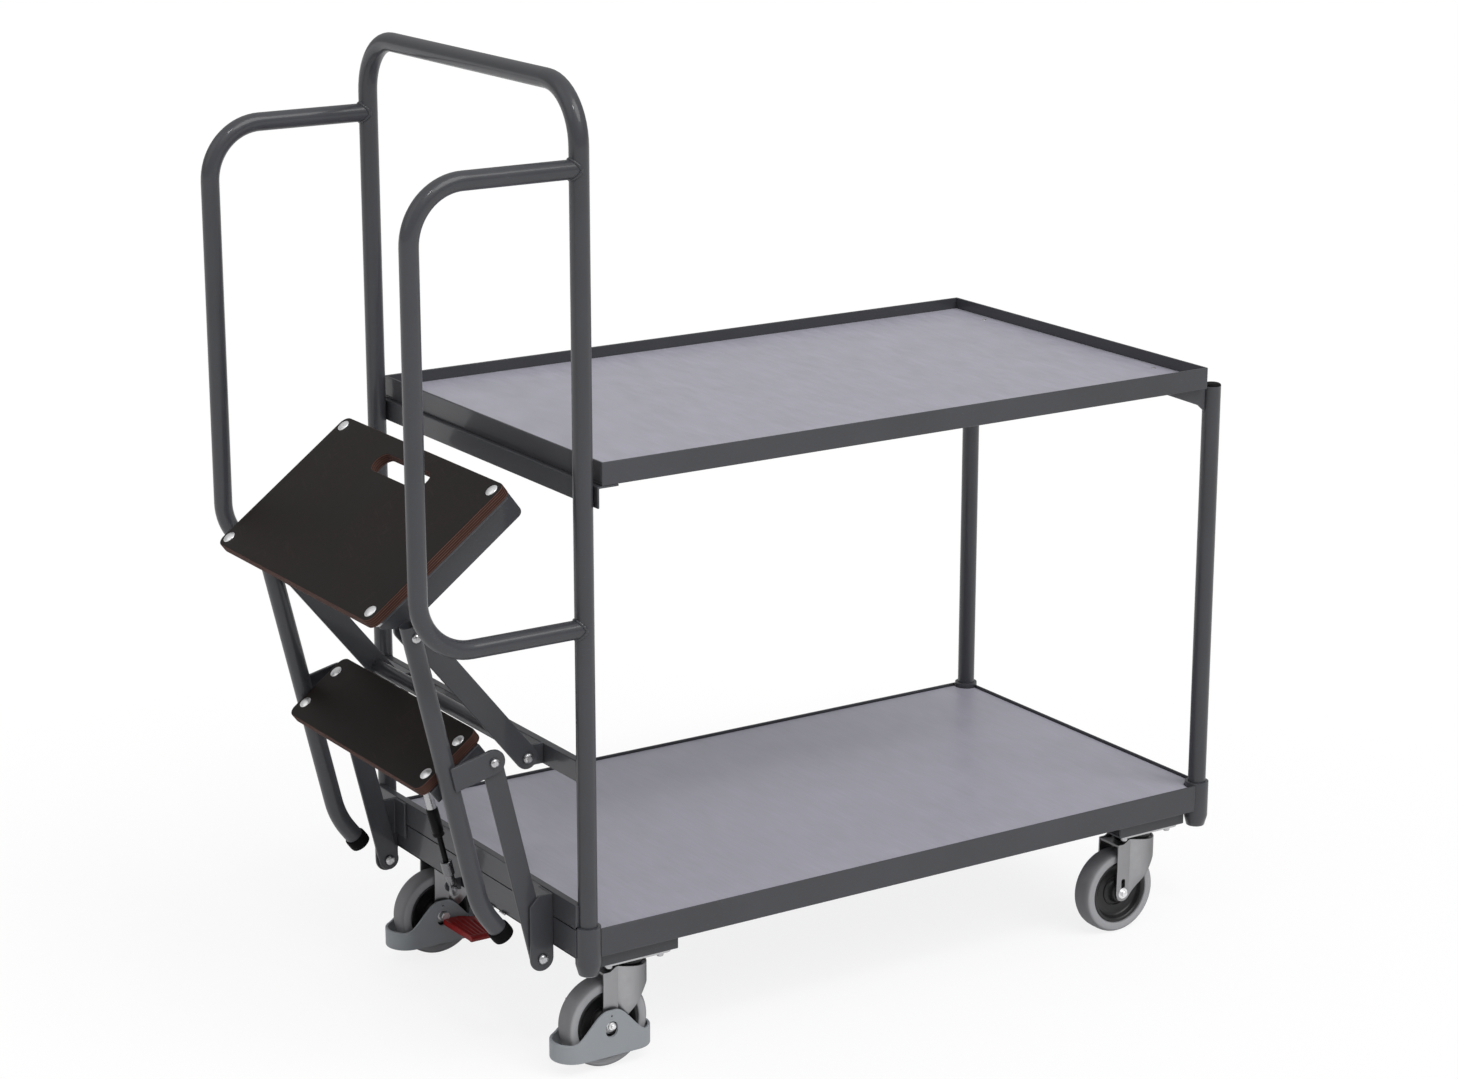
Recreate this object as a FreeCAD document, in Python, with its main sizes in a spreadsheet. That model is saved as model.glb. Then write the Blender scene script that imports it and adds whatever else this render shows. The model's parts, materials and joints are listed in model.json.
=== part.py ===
import FreeCAD
import Part
import os
import re

import Sketcher

# Order picking trolley with a fold-out ladder. X runs from the handle end to the load end,
# Y across, Z up from the floor. Lengths are millimetres, angles degrees.
SIZES = [
    ("tube_radius", 13, "posts, handle and ladder legs, outer radius"),
    ("tube_wall", 2, "wall of every round tube"),
    ("rail_tube_radius", 12.5, "handrail tube, outer radius"),
    ("post_side_inset", 12.5, "post axis inside the side beams' faces"),
    ("post_spacing", 1042, "handle post axis to load post axis"),
    ("post_foot_rise", 9, "posts' lower end, inside the sockets, above the base's underside"),
    ("handle_height", 1328, "axis of the handle's top bar"),
    ("handle_bend", 76, "centre-line radius of the handle's corners"),
    ("rail_top", 1225, "axis of the handrail's upper bar"),
    ("rail_bottom", 632, "axis of the handrail's lower bar"),
    ("rail_reach", 239, "handrail's upright, out from the handle post"),
    ("rail_bend", 75, "centre-line radius of the handrail's corners"),
    ("cap_height", 4, "plug on top of a load post"),
    ("caster_head_height", 56, "base frame's underside above the wheels' tops"),
    ("base_beam_height", 21, "hollow part of a base beam"),
    ("base_lip_height", 40, "base beam with its upstand"),
    ("base_beam_width", 40, "base beam, across"),
    ("base_half_width", 295, "outer face of the side beams"),
    ("base_skin", 3, "sheet of the base beams"),
    ("handle_overhang", 18, "base end beyond the handle post axis"),
    ("load_overhang", 8, "base end beyond the load post axis"),
    ("base_board_thickness", 15, "lower board"),
    ("board_gap", 1, "play round a board"),
    ("socket_radius", 17.5, "post socket"),
    ("socket_rise", 43, "post socket's upper edge above the base's underside"),
    ("socket_neck_drop", 11, "start of the socket's taper below the base's underside"),
    ("socket_drop", 29, "post socket's lower end below the base's underside"),
    ("socket_tip", 13, "radius of the socket's lower end"),
    ("foot_bar_height", 34, "bar standing on the base's handle end"),
    ("foot_bar_depth", 11, "the same bar, along X"),
    ("mid_bar_bottom", 420, "cross bar that carries the upper arms"),
    ("mid_bar_height", 29, "the same bar, up"),
    ("mid_bar_depth", 12, "the same bar, along X"),
    ("shelf_bottom", 820, "underside of the shelf"),
    ("shelf_rim_height", 31, "shelf rim"),
    ("shelf_skin", 3, "sheet of the shelf rim"),
    ("shelf_flange", 25, "flange that carries the shelf board"),
    ("shelf_side_margin", 2, "shelf's sides beyond the base's sides"),
    ("shelf_start", 20, "shelf's handle end from the handle post axis"),
    ("shelf_end_inset", 21, "shelf's load end before the load post axis"),
    ("shelf_board_thickness", 11.5, "shelf board"),
    ("end_rail_drop", 29, "angle under the shelf's handle end, down"),
    ("end_rail_flange", 32, "the same angle, along X"),
    ("gusset_length", 80, "plate between load post and shelf, along X"),
    ("gusset_drop", 37, "the same plate at the post, down"),
    ("gusset_toe_share", 0.7, "height of the plate's lower corner, share of its drop"),
    ("gusset_heel_share", 0.16, "that corner from the post, share of its length"),
    ("gusset_thickness", 4, "the same plate, across"),
    ("caster_inset", 81, "swivel axis from the nearest post axis, along X"),
    ("caster_side_inset", 59, "swivel axis inside the side beams' faces"),
    ("channel_length", 120, "caster channel, along X"),
    ("channel_width", 90, "caster channel, across"),
    ("channel_height", 21, "caster channel, up"),
    ("channel_skin", 3, "sheet of the caster channel"),
    ("plate_length", 105, "caster top plate, along X"),
    ("plate_width", 85, "caster top plate, across"),
    ("plate_thickness", 3.5, "caster top plate"),
    ("plate_corner", 8, "caster top plate, corner radius"),
    ("bolt_pitch_long", 80, "caster bolts, along X"),
    ("bolt_pitch_wide", 60, "caster bolts, across"),
    ("bolt_radius", 4, "caster and tread bolts"),
    ("bolt_head_radius", 7.5, "their hexagons, over the corners"),
    ("bolt_head_height", 5, "their hexagons, along the bolt"),
    ("race_radius", 30, "upper bearing ring"),
    ("race_height", 4, "upper bearing ring"),
    ("kingpin_radius", 6, "swivel pin"),
    ("kingpin_head_radius", 11, "swivel pin's rivet head"),
    ("kingpin_head_height", 5, "swivel pin's rivet head"),
    ("running_gap", 0.05, "round play of a pin in its bore"),
    ("side_gap", 0.4, "play between flat faces that turn past each other"),
    ("crown_radius", 33, "lower bearing cup of the fork"),
    ("crown_height", 11, "lower bearing cup of the fork"),
    ("cup_back", 24, "fork's round front, behind the swivel axis"),
    ("cup_front_drop", 15, "its lower edge under the fork's top, in front"),
    ("cup_back_drop", 45, "its lower edge under the fork's top, behind"),
    ("fork_half_gap", 20, "fork leg's inner face from the wheel's middle"),
    ("fork_skin", 3, "sheet of the fork"),
    ("fork_boss", 14, "round end of a fork leg"),
    ("fork_front", 26, "fork leg's front edge from the swivel axis"),
    ("fork_shoulder", 24, "straight part of that edge"),
    ("caster_trail", 33, "axle behind the swivel axis"),
    ("wheel_radius", 62.5, "tyre, outer radius"),
    ("tyre_width", 34, "tyre, across"),
    ("tyre_shoulder", 8, "rounding of the tyre's shoulders"),
    ("hub_radius", 47, "rim of the hub, under the tyre"),
    ("hub_rim", 6, "thickness of the hub's rim"),
    ("hub_rim_width", 30, "hub's rim, across"),
    ("hub_web", 10, "hub's disc, across"),
    ("hub_boss", 15, "hub's boss, radius"),
    ("axle_radius", 6, "wheel axle"),
    ("axle_head_radius", 8.5, "axle's hexagons, over the corners"),
    ("axle_head_height", 6, "axle's hexagons, along the axle"),
    ("guard_half_width", 31, "foot guard, outer face from the wheel's middle"),
    ("guard_wall", 4, "foot guard's wall"),
    ("guard_back", 78, "foot guard behind the axle"),
    ("guard_front", 70, "foot guard before the axle"),
    ("guard_bottom", 21.3, "foot guard, lower edge"),
    ("guard_top", 48.3, "foot guard's ring, upper edge"),
    ("hump_height", 25, "round head of the guard's side above the axle"),
    ("hump_radius", 21, "the same head, radius"),
    ("hump_foot", 50, "half length of the guard's side at the ring"),
    ("slot_radius", 9.5, "window round the axle's nut"),
    ("slot_length", 7, "window's straight part, down"),
    ("pedal_pivot_out", 9, "pedal's pin from the guard's face"),
    ("pedal_pivot_height", 55, "pedal's pin"),
    ("pedal_offset", 20, "pedal's middle before the axle"),
    ("pedal_pin", 3, "pedal's pin, radius"),
    ("pedal_barrel", 6, "pedal's barrel, radius"),
    ("pedal_length", 70, "pedal from its pin to the tip"),
    ("pedal_width", 44, "pedal, along X"),
    ("pedal_thickness", 8, "pedal's blade"),
    ("pedal_slope", 3, "pedal's fall from its pin, angle"),
    ("pedal_rib", 2.5, "grip ribs, height and width"),
    ("ear_thickness", 4, "pedal bearing ears"),
    ("arm_pivot_out", 34, "upper arm's lower pin from the handle post axis"),
    ("arm_pivot_rise", 16, "the same pin above the cross bar's underside"),
    ("upper_arm_length", 266.9, "upper arm, pin to pin"),
    ("upper_arm_lean", 40.97, "upper arm from upright, folded, angle"),
    ("upper_arm_width", 32, "upper arm"),
    ("foot_pivot_out", 35, "lower arm's lower pin from the handle post axis"),
    ("foot_pivot_drop", 16.5, "the same pin below the base's underside"),
    ("lower_arm_length", 296, "lower arm, pin to pin"),
    ("lower_arm_lean", 13.34, "lower arm from upright, folded, angle"),
    ("lower_arm_width", 30, "lower arm"),
    ("arm_thickness", 5, "both arms"),
    ("arm_gap", 0.5, "play beside an arm"),
    ("pivot_radius", 5, "bolts of the ladder's pivots"),
    ("pivot_head_radius", 7.5, "their hexagons, over the corners"),
    ("pivot_head_height", 6, "their hexagons, along the bolt"),
    ("brace_radius", 10, "tube between the upper arms"),
    ("brace_height", 40, "that tube from the arms' lower pins"),
    ("bracket_plate", 4, "plates that carry the arms"),
    ("foot_bracket_rise", 73, "lower arm's plate, upper edge above the base's underside"),
    ("foot_bracket_reach", 53, "lower arm's plate, out from the handle post axis"),
    ("foot_bracket_cut", 14, "its cut-off corner"),
    ("foot_bracket_tab", 30, "its flange on the base"),
    ("ladder_tilt", 36.7, "treads' slope when folded, angle"),
    ("tread_thickness", 15, "plywood of the treads"),
    ("tread_corner", 13, "treads, corner radius"),
    ("top_tread_back", 36, "top tread behind the leg's upper pin"),
    ("top_tread_depth", 250, "top tread"),
    ("top_tread_margin", 16, "top tread's sides beyond the leg axes"),
    ("top_tread_rise", 53, "top tread's underside above that pin"),
    ("hand_hole_length", 140, "grip hole, across"),
    ("hand_hole_width", 30, "grip hole"),
    ("hand_hole_place", 174, "grip hole's middle from that pin"),
    ("lower_tread_setback", 9, "lower tread's inner edge from that pin"),
    ("lower_tread_depth", 110, "lower tread"),
    ("lower_tread_inset", 16, "lower tread's sides inside the leg axes"),
    ("lower_tread_drop", 194.5, "lower tread's underside below that pin"),
    ("leg_side_inset", 89, "leg axis inside the side beams' faces"),
    ("leg_lean", 23.6, "leg from upright, unfolded, angle"),
    ("leg_length", 398.9, "upper pin to the leg's bend"),
    ("leg_top", 15, "leg above its upper pin"),
    ("leg_bend", 120, "centre-line radius of the leg's bend"),
    ("leg_foot", 55.3, "bend to the tube's lower end"),
    ("shoe_bottom", 4, "rubber shoe under the tube"),
    ("shoe_wall", 2.5, "rubber shoe round the tube"),
    ("shoe_height", 17.5, "rubber shoe"),
    ("support_skin", 4, "plates under the treads"),
    ("support_flange", 31, "flange under the top tread"),
    ("support_back", 22, "top tread's plate behind the upper pin"),
    ("support_front", 220, "top tread's plate before the upper pin"),
    ("support_low", 3.5, "its lower edge above that pin"),
    ("support_cut", 26, "its cut-off lower corner, behind"),
    ("support_end_cut", 8, "slope of its front end, along"),
    ("support_end_height", 33, "that slope, height"),
    ("stair_support_depth", 19.5, "lower tread's plates, down"),
    ("stair_support_inset", 10, "those plates inside the tread's edges"),
    ("stair_support_flange", 30, "flange under the lower tread"),
    ("tread_bolt_inset", 15, "tread bolts from the treads' ends and the top tread's edges"),
    ("stair_bolt_inset", 25, "lower tread's bolts from its front and back edges"),
    ("tread_bolt_cap", 9, "tread bolts' round heads, radius"),
    ("tread_bolt_cap_height", 3, "tread bolts' round heads"),
    ("link_plate", 5, "plate from the leg to the lower arm"),
    ("link_half_width", 17, "the same plate"),
    ("spring_offset", 25, "gas spring from the middle plane"),
    ("spring_foot_out", 35, "gas spring's lower pin from the handle post axis"),
    ("spring_foot_rise", 4, "the same pin above the base's underside"),
    ("spring_head_setback", 23, "gas spring's upper pin from the leg's upper pin"),
    ("spring_head_drop", 212, "the same pin, down"),
    ("spring_pin", 4, "both pins, radius"),
    ("spring_eye", 8, "lower eye, radius"),
    ("spring_eye_half", 5, "both eyes, half width"),
    ("spring_fitting", 39, "lower fitting's length"),
    ("spring_rod_radius", 3.5, "piston rod"),
    ("spring_rod_end", 160, "piston rod's inner end from the lower pin"),
    ("spring_collar_low", 82, "collar's lower end from the lower pin"),
    ("spring_collar_length", 43, "collar"),
    ("spring_collar_radius", 8.5, "collar"),
    ("spring_tube_radius", 7, "cylinder"),
    ("spring_tube_bore", 4.5, "cylinder's bore"),
    ("spring_head_bore", 8.2, "upper eye's bore, wide for the fold"),
    ("spring_head_radius", 10.8, "upper eye"),
    ("clevis_plate", 2.5, "sheet of the spring's brackets"),
    ("clevis_half", 9, "half width of the spring's brackets"),
    ("cut_overrun", 5, "how far a cut runs past its faces"),
]
SIDES = ((-1, "near"), (1, "far"))
QUARTER = "90"
UPRIGHT = FreeCAD.Vector(0, 0, 1)
ACROSS = FreeCAD.Vector(0, 1, 0)
ALONG = FreeCAD.Vector(1, 0, 0)

# Widths that follow the base's width, and heights that follow the base frame or the cross bar.
TIES = {
    "post_half_span": "(base_half_width - post_side_inset)",
    "shelf_half_width": "(base_half_width + shelf_side_margin)",
    "caster_half_span": "(base_half_width - caster_side_inset)",
    "leg_half_span": "(base_half_width - leg_side_inset)",
    "top_tread_half_width": "(leg_half_span + top_tread_margin)",
    "lower_tread_half_width": "(leg_half_span - lower_tread_inset)",
    "base_bottom": "(2 * wheel_radius + caster_head_height)",
    "post_foot": "(base_bottom + post_foot_rise)",
    "socket_top": "(base_bottom + socket_rise)",
    "socket_taper": "(base_bottom - socket_neck_drop)",
    "socket_bottom": "(base_bottom - socket_drop)",
    "foot_pivot_height": "(base_bottom - foot_pivot_drop)",
    "foot_bracket_top": "(base_bottom + foot_bracket_rise)",
    "spring_foot_height": "(base_bottom + spring_foot_rise)",
    "arm_pivot_height": "(mid_bar_bottom + arm_pivot_rise)",
}

# Places that several pieces share, from the handle posts' plane.
BASE_TOP = "(base_bottom + base_lip_height)"
BOARD_SEAT = "(base_bottom + base_beam_height)"
CHANNEL_FLOOR = "(base_bottom - channel_height)"
PLATE_FLOOR = f"({CHANNEL_FLOOR} - plate_thickness)"
CROWN_TOP = f"({PLATE_FLOOR} - race_height - side_gap)"
YOKE_TOP = f"({CROWN_TOP} - crown_height)"
SHELF_END = "(post_spacing - shelf_end_inset)"
WEB_IN = "(leg_half_span - tube_radius - support_skin)"
WEB_OUT = "(leg_half_span - tube_radius)"
UPPER_ARM_OUT = f"({WEB_IN} - arm_gap)"
UPPER_ARM_IN = f"({UPPER_ARM_OUT} - arm_thickness)"
LINK_IN = "(leg_half_span + tube_radius)"
LOWER_ARM_OUT = f"({LINK_IN} - arm_gap)"
LOWER_ARM_IN = f"({LOWER_ARM_OUT} - arm_thickness)"
LEG_PIN_X = "(-arm_pivot_out - upper_arm_length * sin(upper_arm_lean))"
LEG_PIN_Z = "(arm_pivot_height + upper_arm_length * cos(upper_arm_lean))"
LINK_PIN_X = "(-foot_pivot_out - lower_arm_length * sin(lower_arm_lean))"
LINK_PIN_Z = "(foot_pivot_height + lower_arm_length * cos(lower_arm_lean))"
GO_X = f"({LINK_PIN_X} - {LEG_PIN_X})"
GO_Z = f"({LINK_PIN_Z} - {LEG_PIN_Z})"
# The lower arm's upper pin in the unfolded ladder's frame, and measured along and off the leg.
LINK_U = f"({GO_X} * cos(ladder_tilt) + {GO_Z} * sin(ladder_tilt))"
LINK_W = f"({GO_Z} * cos(ladder_tilt) - {GO_X} * sin(ladder_tilt))"
LINK_ALONG = f"({LINK_U} * sin(leg_lean) + {LINK_W} * cos(leg_lean))"
LINK_OFF = f"({LINK_U} * cos(leg_lean) - {LINK_W} * sin(leg_lean))"
SPRING_HEAD_X = (
    f"({LEG_PIN_X} - spring_head_setback * cos(ladder_tilt) + spring_head_drop * sin(ladder_tilt))"
)
SPRING_HEAD_Z = (
    f"({LEG_PIN_Z} - spring_head_setback * sin(ladder_tilt) - spring_head_drop * cos(ladder_tilt))"
)
SPRING_DX = f"(-spring_foot_out - {SPRING_HEAD_X})"
SPRING_DZ = f"({SPRING_HEAD_Z} - spring_foot_height)"
SPRING_SPAN = f"sqrt({SPRING_DX} * {SPRING_DX} + {SPRING_DZ} * {SPRING_DZ})"
# The handle posts' plane lies here, so that the whole trolley is centred on the origin.
HANDLE_X = (
    "((top_tread_back * cos(ladder_tilt) + (top_tread_rise + tread_thickness) * sin(ladder_tilt)"
    f" - {LEG_PIN_X} - post_spacing - socket_radius) / 2)"
)

doc = FreeCAD.newDocument("order_picking_trolley")
sheet = doc.addObject("Spreadsheet::Sheet", "Sizes")
for row, (alias, size, note) in enumerate(SIZES, 1):
    sheet.set(f"A{row}", note)
    sheet.set(f"B{row}", str(size))
    sheet.setAlias(f"B{row}", alias)
doc.recompute()
ALIASES = {alias for alias, size, note in SIZES}
NODES = []


def bound(text):
    """Write a sum of named sizes and ties as the sheet's own cells."""

    def cell(word):
        name = word[0]
        if name in TIES:
            return bound(TIES[name])
        return f"Sizes.{name}" if name in ALIASES else name

    return re.sub(r"[a-z][a-z_]*", cell, text)


def value(text):
    """Work out a sum of named sizes."""
    return float(sheet.evalExpression(bound(text)))


def bind(item, **sums):
    for name, text in sums.items():
        item.setExpression(name.replace("__", "."), bound(text))


def put(item, x="0", y="0", z="0", turn=None, about=ACROSS):
    """Place an item, turned about one axis by a bound angle."""
    if turn:
        item.Placement = FreeCAD.Placement(FreeCAD.Vector(), FreeCAD.Rotation(about, value(turn)))
        bind(item, Placement__Rotation__Angle=turn)
    bind(item, Placement__Base__x=x, Placement__Base__y=y, Placement__Base__z=z)
    return item


def span(side, inner, outer):
    """The lower and upper Y of a stretch on one side of the middle plane."""
    if side < 0:
        return f"(-({outer}))", f"(-({inner}))"
    return f"({inner})", f"({outer})"


def block(x, y, z):
    """A box from its lower and upper bounds on each axis."""
    box = doc.addObject("Part::Box", "Block")
    bind(box, Length=f"{x[1]} - ({x[0]})", Width=f"{y[1]} - ({y[0]})", Height=f"{z[1]} - ({z[0]})")
    return put(box, x[0], y[0], z[0])


def aim(item, axis, x, y, z):
    """Turn an upright solid to lie along an axis, with its foot at a point."""
    if axis is ALONG:
        return put(item, x, y, z, QUARTER, ACROSS)
    if axis is ACROSS:
        return put(item, x, y, z, f"-{QUARTER}", ALONG)
    return put(item, x, y, z)


def rod(axis, x, y, z, radius, length):
    cylinder = doc.addObject("Part::Cylinder", "Rod")
    bind(cylinder, Radius=radius, Height=length)
    return aim(cylinder, axis, x, y, z)


def hexagon(axis, x, y, z, radius, length):
    prism = doc.addObject("Part::Prism", "Hexagon")
    prism.Polygon = 6
    bind(prism, Circumradius=radius, Height=length)
    return aim(prism, axis, x, y, z)


def cone(x, y, z, low_radius, high_radius, length):
    taper = doc.addObject("Part::Cone", "Cone")
    bind(taper, Radius1=low_radius, Radius2=high_radius, Height=length)
    return put(taper, x, y, z)


def bend(x, y, z, first, last, radius, tube, sweep=QUARTER):
    """A stretch of ring about a point, from one direction towards another."""
    ring = doc.addObject("Part::Torus", "Bend")
    start = FreeCAD.Vector(*first)
    end = FreeCAD.Vector(*last)
    ring.Placement = FreeCAD.Placement(
        FreeCAD.Vector(), FreeCAD.Rotation(start, end, start.cross(end), "ZXY")
    )
    bind(ring, Radius1=radius, Radius2=tube, Angle3=sweep)
    return put(ring, x, y, z)


def fuse(*items):
    if len(items) == 1:
        return items[0]
    union = doc.addObject("Part::MultiFuse", "Fuse")
    union.Shapes = list(items)
    return union


def cut(base, *tools):
    difference = doc.addObject("Part::Cut", "Cut")
    difference.Base = base
    difference.Tool = fuse(*tools)
    return difference


def group(items):
    bundle = doc.addObject("Part::Compound", "Group")
    bundle.Links = list(items)
    return bundle


def node(label, item, x="0", y="0", z="0", turn=None):
    """Name a sub-part and set it in the trolley's frame."""
    item.Label = label
    put(item, f"{HANDLE_X} + {x}", y, z, turn)
    NODES.append(item)


def ladder_node(label, item, extra="0"):
    """Name a sub-part made in the unfolded ladder's frame and set it folded."""
    node(label, item, LEG_PIN_X, "0", LEG_PIN_Z, f"{extra} - ladder_tilt")


def hollow(run, tube="tube_radius"):
    return cut(run(tube), run(f"({tube} - tube_wall)"))


def outline(body, role, corners):
    """A straight-sided sketch whose corners follow the sheet."""
    sketch = body.newObject("Sketcher::SketchObject", "Outline")
    plane = next(item for item in body.Origin.OriginFeatures if item.Role == role)
    sketch.AttachmentSupport = [(plane, "")]
    sketch.MapMode = "FlatFace"
    points = [FreeCAD.Vector(value(x), value(y), 0) for x, y in corners]
    count = len(points)
    for index, point in enumerate(points):
        sketch.addGeometry(Part.LineSegment(point, points[(index + 1) % count]))
    for index in range(count):
        sketch.addConstraint(Sketcher.Constraint("Coincident", index, 2, (index + 1) % count, 1))
    for index, corner in enumerate(corners):
        for kind, axis, text in (("DistanceX", -2, corner[0]), ("DistanceY", -1, corner[1])):
            if text == "0":
                sketch.addConstraint(Sketcher.Constraint("PointOnObject", index, 1, axis))
                continue
            place = sketch.addConstraint(Sketcher.Constraint(kind, index, 1, value(text)))
            sketch.setExpression(f"Constraints[{place}]", bound(text))
    return sketch


def panel(corners, y):
    """A plate in the XZ plane between two Y bounds."""
    body = doc.addObject("PartDesign::Body", "Panel")
    sketch = outline(body, "XZ_Plane", corners)
    bind(sketch, AttachmentOffset__Base__z=f"-({y[1]})")
    pad = body.newObject("PartDesign::Pad", "Pad")
    pad.Profile = sketch
    bind(pad, Length=f"{y[1]} - ({y[0]})")
    return body


def turned(corners):
    """A solid of revolution about Y from corners given as (across, radius)."""
    body = doc.addObject("PartDesign::Body", "Turned")
    sketch = outline(body, "YZ_Plane", corners)
    revolution = body.newObject("PartDesign::Revolution", "Revolution")
    revolution.Profile = sketch
    revolution.ReferenceAxis = (sketch, ["H_Axis"])
    revolution.Angle = 360
    return body


def round_edges(body, chosen, radius):
    """Round the edges of a body's last feature that the test picks."""
    doc.recompute()
    feature = body.Tip
    names = [f"Edge{index}" for index, edge in enumerate(feature.Shape.Edges, 1) if chosen(edge)]
    fillet = body.newObject("PartDesign::Fillet", "Rounding")
    fillet.Base = (feature, names)
    bind(fillet, Radius=radius)
    return body


def slab(x, y, z, corner):
    """A board with rounded upright corners."""
    body = doc.addObject("PartDesign::Body", "Slab")
    corners = [(x[0], y[0]), (x[1], y[0]), (x[1], y[1]), (x[0], y[1])]
    sketch = outline(body, "XY_Plane", corners)
    bind(sketch, AttachmentOffset__Base__z=z[0])
    pad = body.newObject("PartDesign::Pad", "Pad")
    pad.Profile = sketch
    bind(pad, Length=f"{z[1]} - ({z[0]})")
    return round_edges(body, lambda edge: edge.BoundBox.ZLength > edge.BoundBox.DiagonalLength / 2, corner)


def bolt_across(x, z, y, radius, head_radius, head_height):
    """A hexagon bolt along Y, its shank between two bounds and a hexagon past each."""
    length = f"{y[1]} - ({y[0]})"
    return fuse(
        rod(ACROSS, x, y[0], z, radius, length),
        hexagon(ACROSS, x, f"{y[0]} - {head_height}", z, head_radius, head_height),
        hexagon(ACROSS, x, y[1], z, head_radius, head_height),
    )


def post_rods(x, radius, low, high):
    """Upright rods on the axes of the two posts at one end."""
    return [
        rod(UPRIGHT, x, f"{side} * post_half_span", low, radius, f"{high} - ({low})")
        for side, name in SIDES
    ]


def make_handle():
    def run(tube):
        straight = "(post_half_span - handle_bend)"
        level = "(handle_height - handle_bend)"
        bends = [
            bend("0", f"{side} * {straight}", level, (0, side, 0), (0, 0, 1), "handle_bend", tube)
            for side, name in SIDES
        ]
        bar = rod(ACROSS, "0", f"-{straight}", "handle_height", tube, f"2 * {straight}")
        return fuse(*post_rods("0", tube, "post_foot", level), *bends, bar)

    node("handle_frame", hollow(run))


def make_handrails():
    for side, name in SIDES:
        y = f"{side} * post_half_span"

        def run(tube):
            corner = "(rail_bend - rail_reach)"
            reach = "(rail_reach - rail_bend)"
            low = "(rail_bottom + rail_bend)"
            high = "(rail_top - rail_bend)"
            return fuse(
                rod(ALONG, corner, y, "rail_top", tube, reach),
                bend(corner, y, high, (0, 0, 1), (-1, 0, 0), "rail_bend", tube),
                rod(UPRIGHT, "-rail_reach", y, low, tube, f"{high} - {low}"),
                bend(corner, y, low, (-1, 0, 0), (0, 0, -1), "rail_bend", tube),
                rod(ALONG, corner, y, "rail_bottom", tube, reach),
            )

        post = rod(UPRIGHT, "0", y, "rail_bottom - rail_bend", "tube_radius", "rail_top")
        node(f"handrail_{name}", cut(hollow(run, "rail_tube_radius"), post))


def make_cross_bars():
    y = ("-post_half_span", "post_half_span")
    foot_x = ("-handle_overhang", "(foot_bar_depth - handle_overhang)")
    foot = block(foot_x, y, (BASE_TOP, f"({BASE_TOP} + foot_bar_height)"))
    posts = post_rods("0", "tube_radius", "post_foot", "mid_bar_bottom")
    sockets = post_rods("0", "socket_radius", "socket_taper", "socket_top")
    node("lower_crossbar", cut(foot, *posts, *sockets))
    middle_x = ("(-mid_bar_depth / 2)", "(mid_bar_depth / 2)")
    middle = block(middle_x, y, ("mid_bar_bottom", "(mid_bar_bottom + mid_bar_height)"))
    node("mid_crossbar", cut(middle, *post_rods("0", "tube_radius", "socket_top", "rail_bottom")))


def make_sockets():
    sockets = []
    for x in ("0", "post_spacing"):
        for side, name in SIDES:
            y = f"{side} * post_half_span"
            sleeve = rod(UPRIGHT, x, y, "socket_taper", "socket_radius", "socket_top - socket_taper")
            tip = cone(x, y, "socket_bottom", "socket_tip", "socket_radius", "socket_taper - socket_bottom")
            bore = rod(UPRIGHT, x, y, "post_foot", "tube_radius", "socket_top - post_foot + cut_overrun")
            sockets.append(cut(fuse(sleeve, tip), bore))
    node("corner_sockets", group(sockets))


def hollow_beam(x, y, through):
    """A rectangular base beam, open along the axis it runs through."""
    z = ("base_bottom", BOARD_SEAT)
    inner = {
        "x": ((f"({x[0]} - cut_overrun)", f"({x[1]} + cut_overrun)"), inset(y)),
        "y": (inset(x), (f"({y[0]} - cut_overrun)", f"({y[1]} + cut_overrun)")),
    }[through]
    return cut(block(x, y, z), block(*inner, inset(z)))


def inset(bounds):
    return f"({bounds[0]} + base_skin)", f"({bounds[1]} - base_skin)"


def socket_rods(radius):
    high = f"({BASE_TOP} + cut_overrun)"
    return [
        item for x in ("0", "post_spacing") for item in post_rods(x, radius, "socket_bottom", high)
    ]


def make_base():
    for side, name in SIDES:
        x = ("0", "post_spacing")
        beam = hollow_beam(x, span(side, "base_half_width - base_beam_width", "base_half_width"), "x")
        lip = block(x, span(side, "base_half_width - base_skin", "base_half_width"), (BOARD_SEAT, BASE_TOP))
        node(f"base_beam_{name}", cut(fuse(beam, lip), *socket_rods("socket_radius")))
    inner = "(base_half_width - base_beam_width)"
    ends = {
        "handle": (
            "-handle_overhang",
            "(base_beam_width - handle_overhang)",
            "(base_skin - handle_overhang)",
        ),
        "load": (
            "(post_spacing + load_overhang - base_beam_width)",
            "(post_spacing + load_overhang)",
            "(post_spacing + load_overhang - base_skin)",
        ),
    }
    for name, (low, high, skin) in ends.items():
        wall = (low, skin) if name == "handle" else (skin, high)
        beam = hollow_beam((low, high), (f"-{inner}", inner), "y")
        lip = block(wall, ("-post_half_span", "post_half_span"), ("base_bottom", BASE_TOP))
        node(f"base_beam_{name}", cut(fuse(beam, lip), *socket_rods("socket_radius")))
    edge = "(base_half_width - base_skin - board_gap)"
    board = block(
        (
            "(base_skin + board_gap - handle_overhang)",
            "(post_spacing + load_overhang - base_skin - board_gap)",
        ),
        (f"-{edge}", edge),
        (BOARD_SEAT, f"({BOARD_SEAT} + base_board_thickness)"),
    )
    node("base_board", cut(board, *socket_rods("(socket_radius + board_gap)")))


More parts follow.
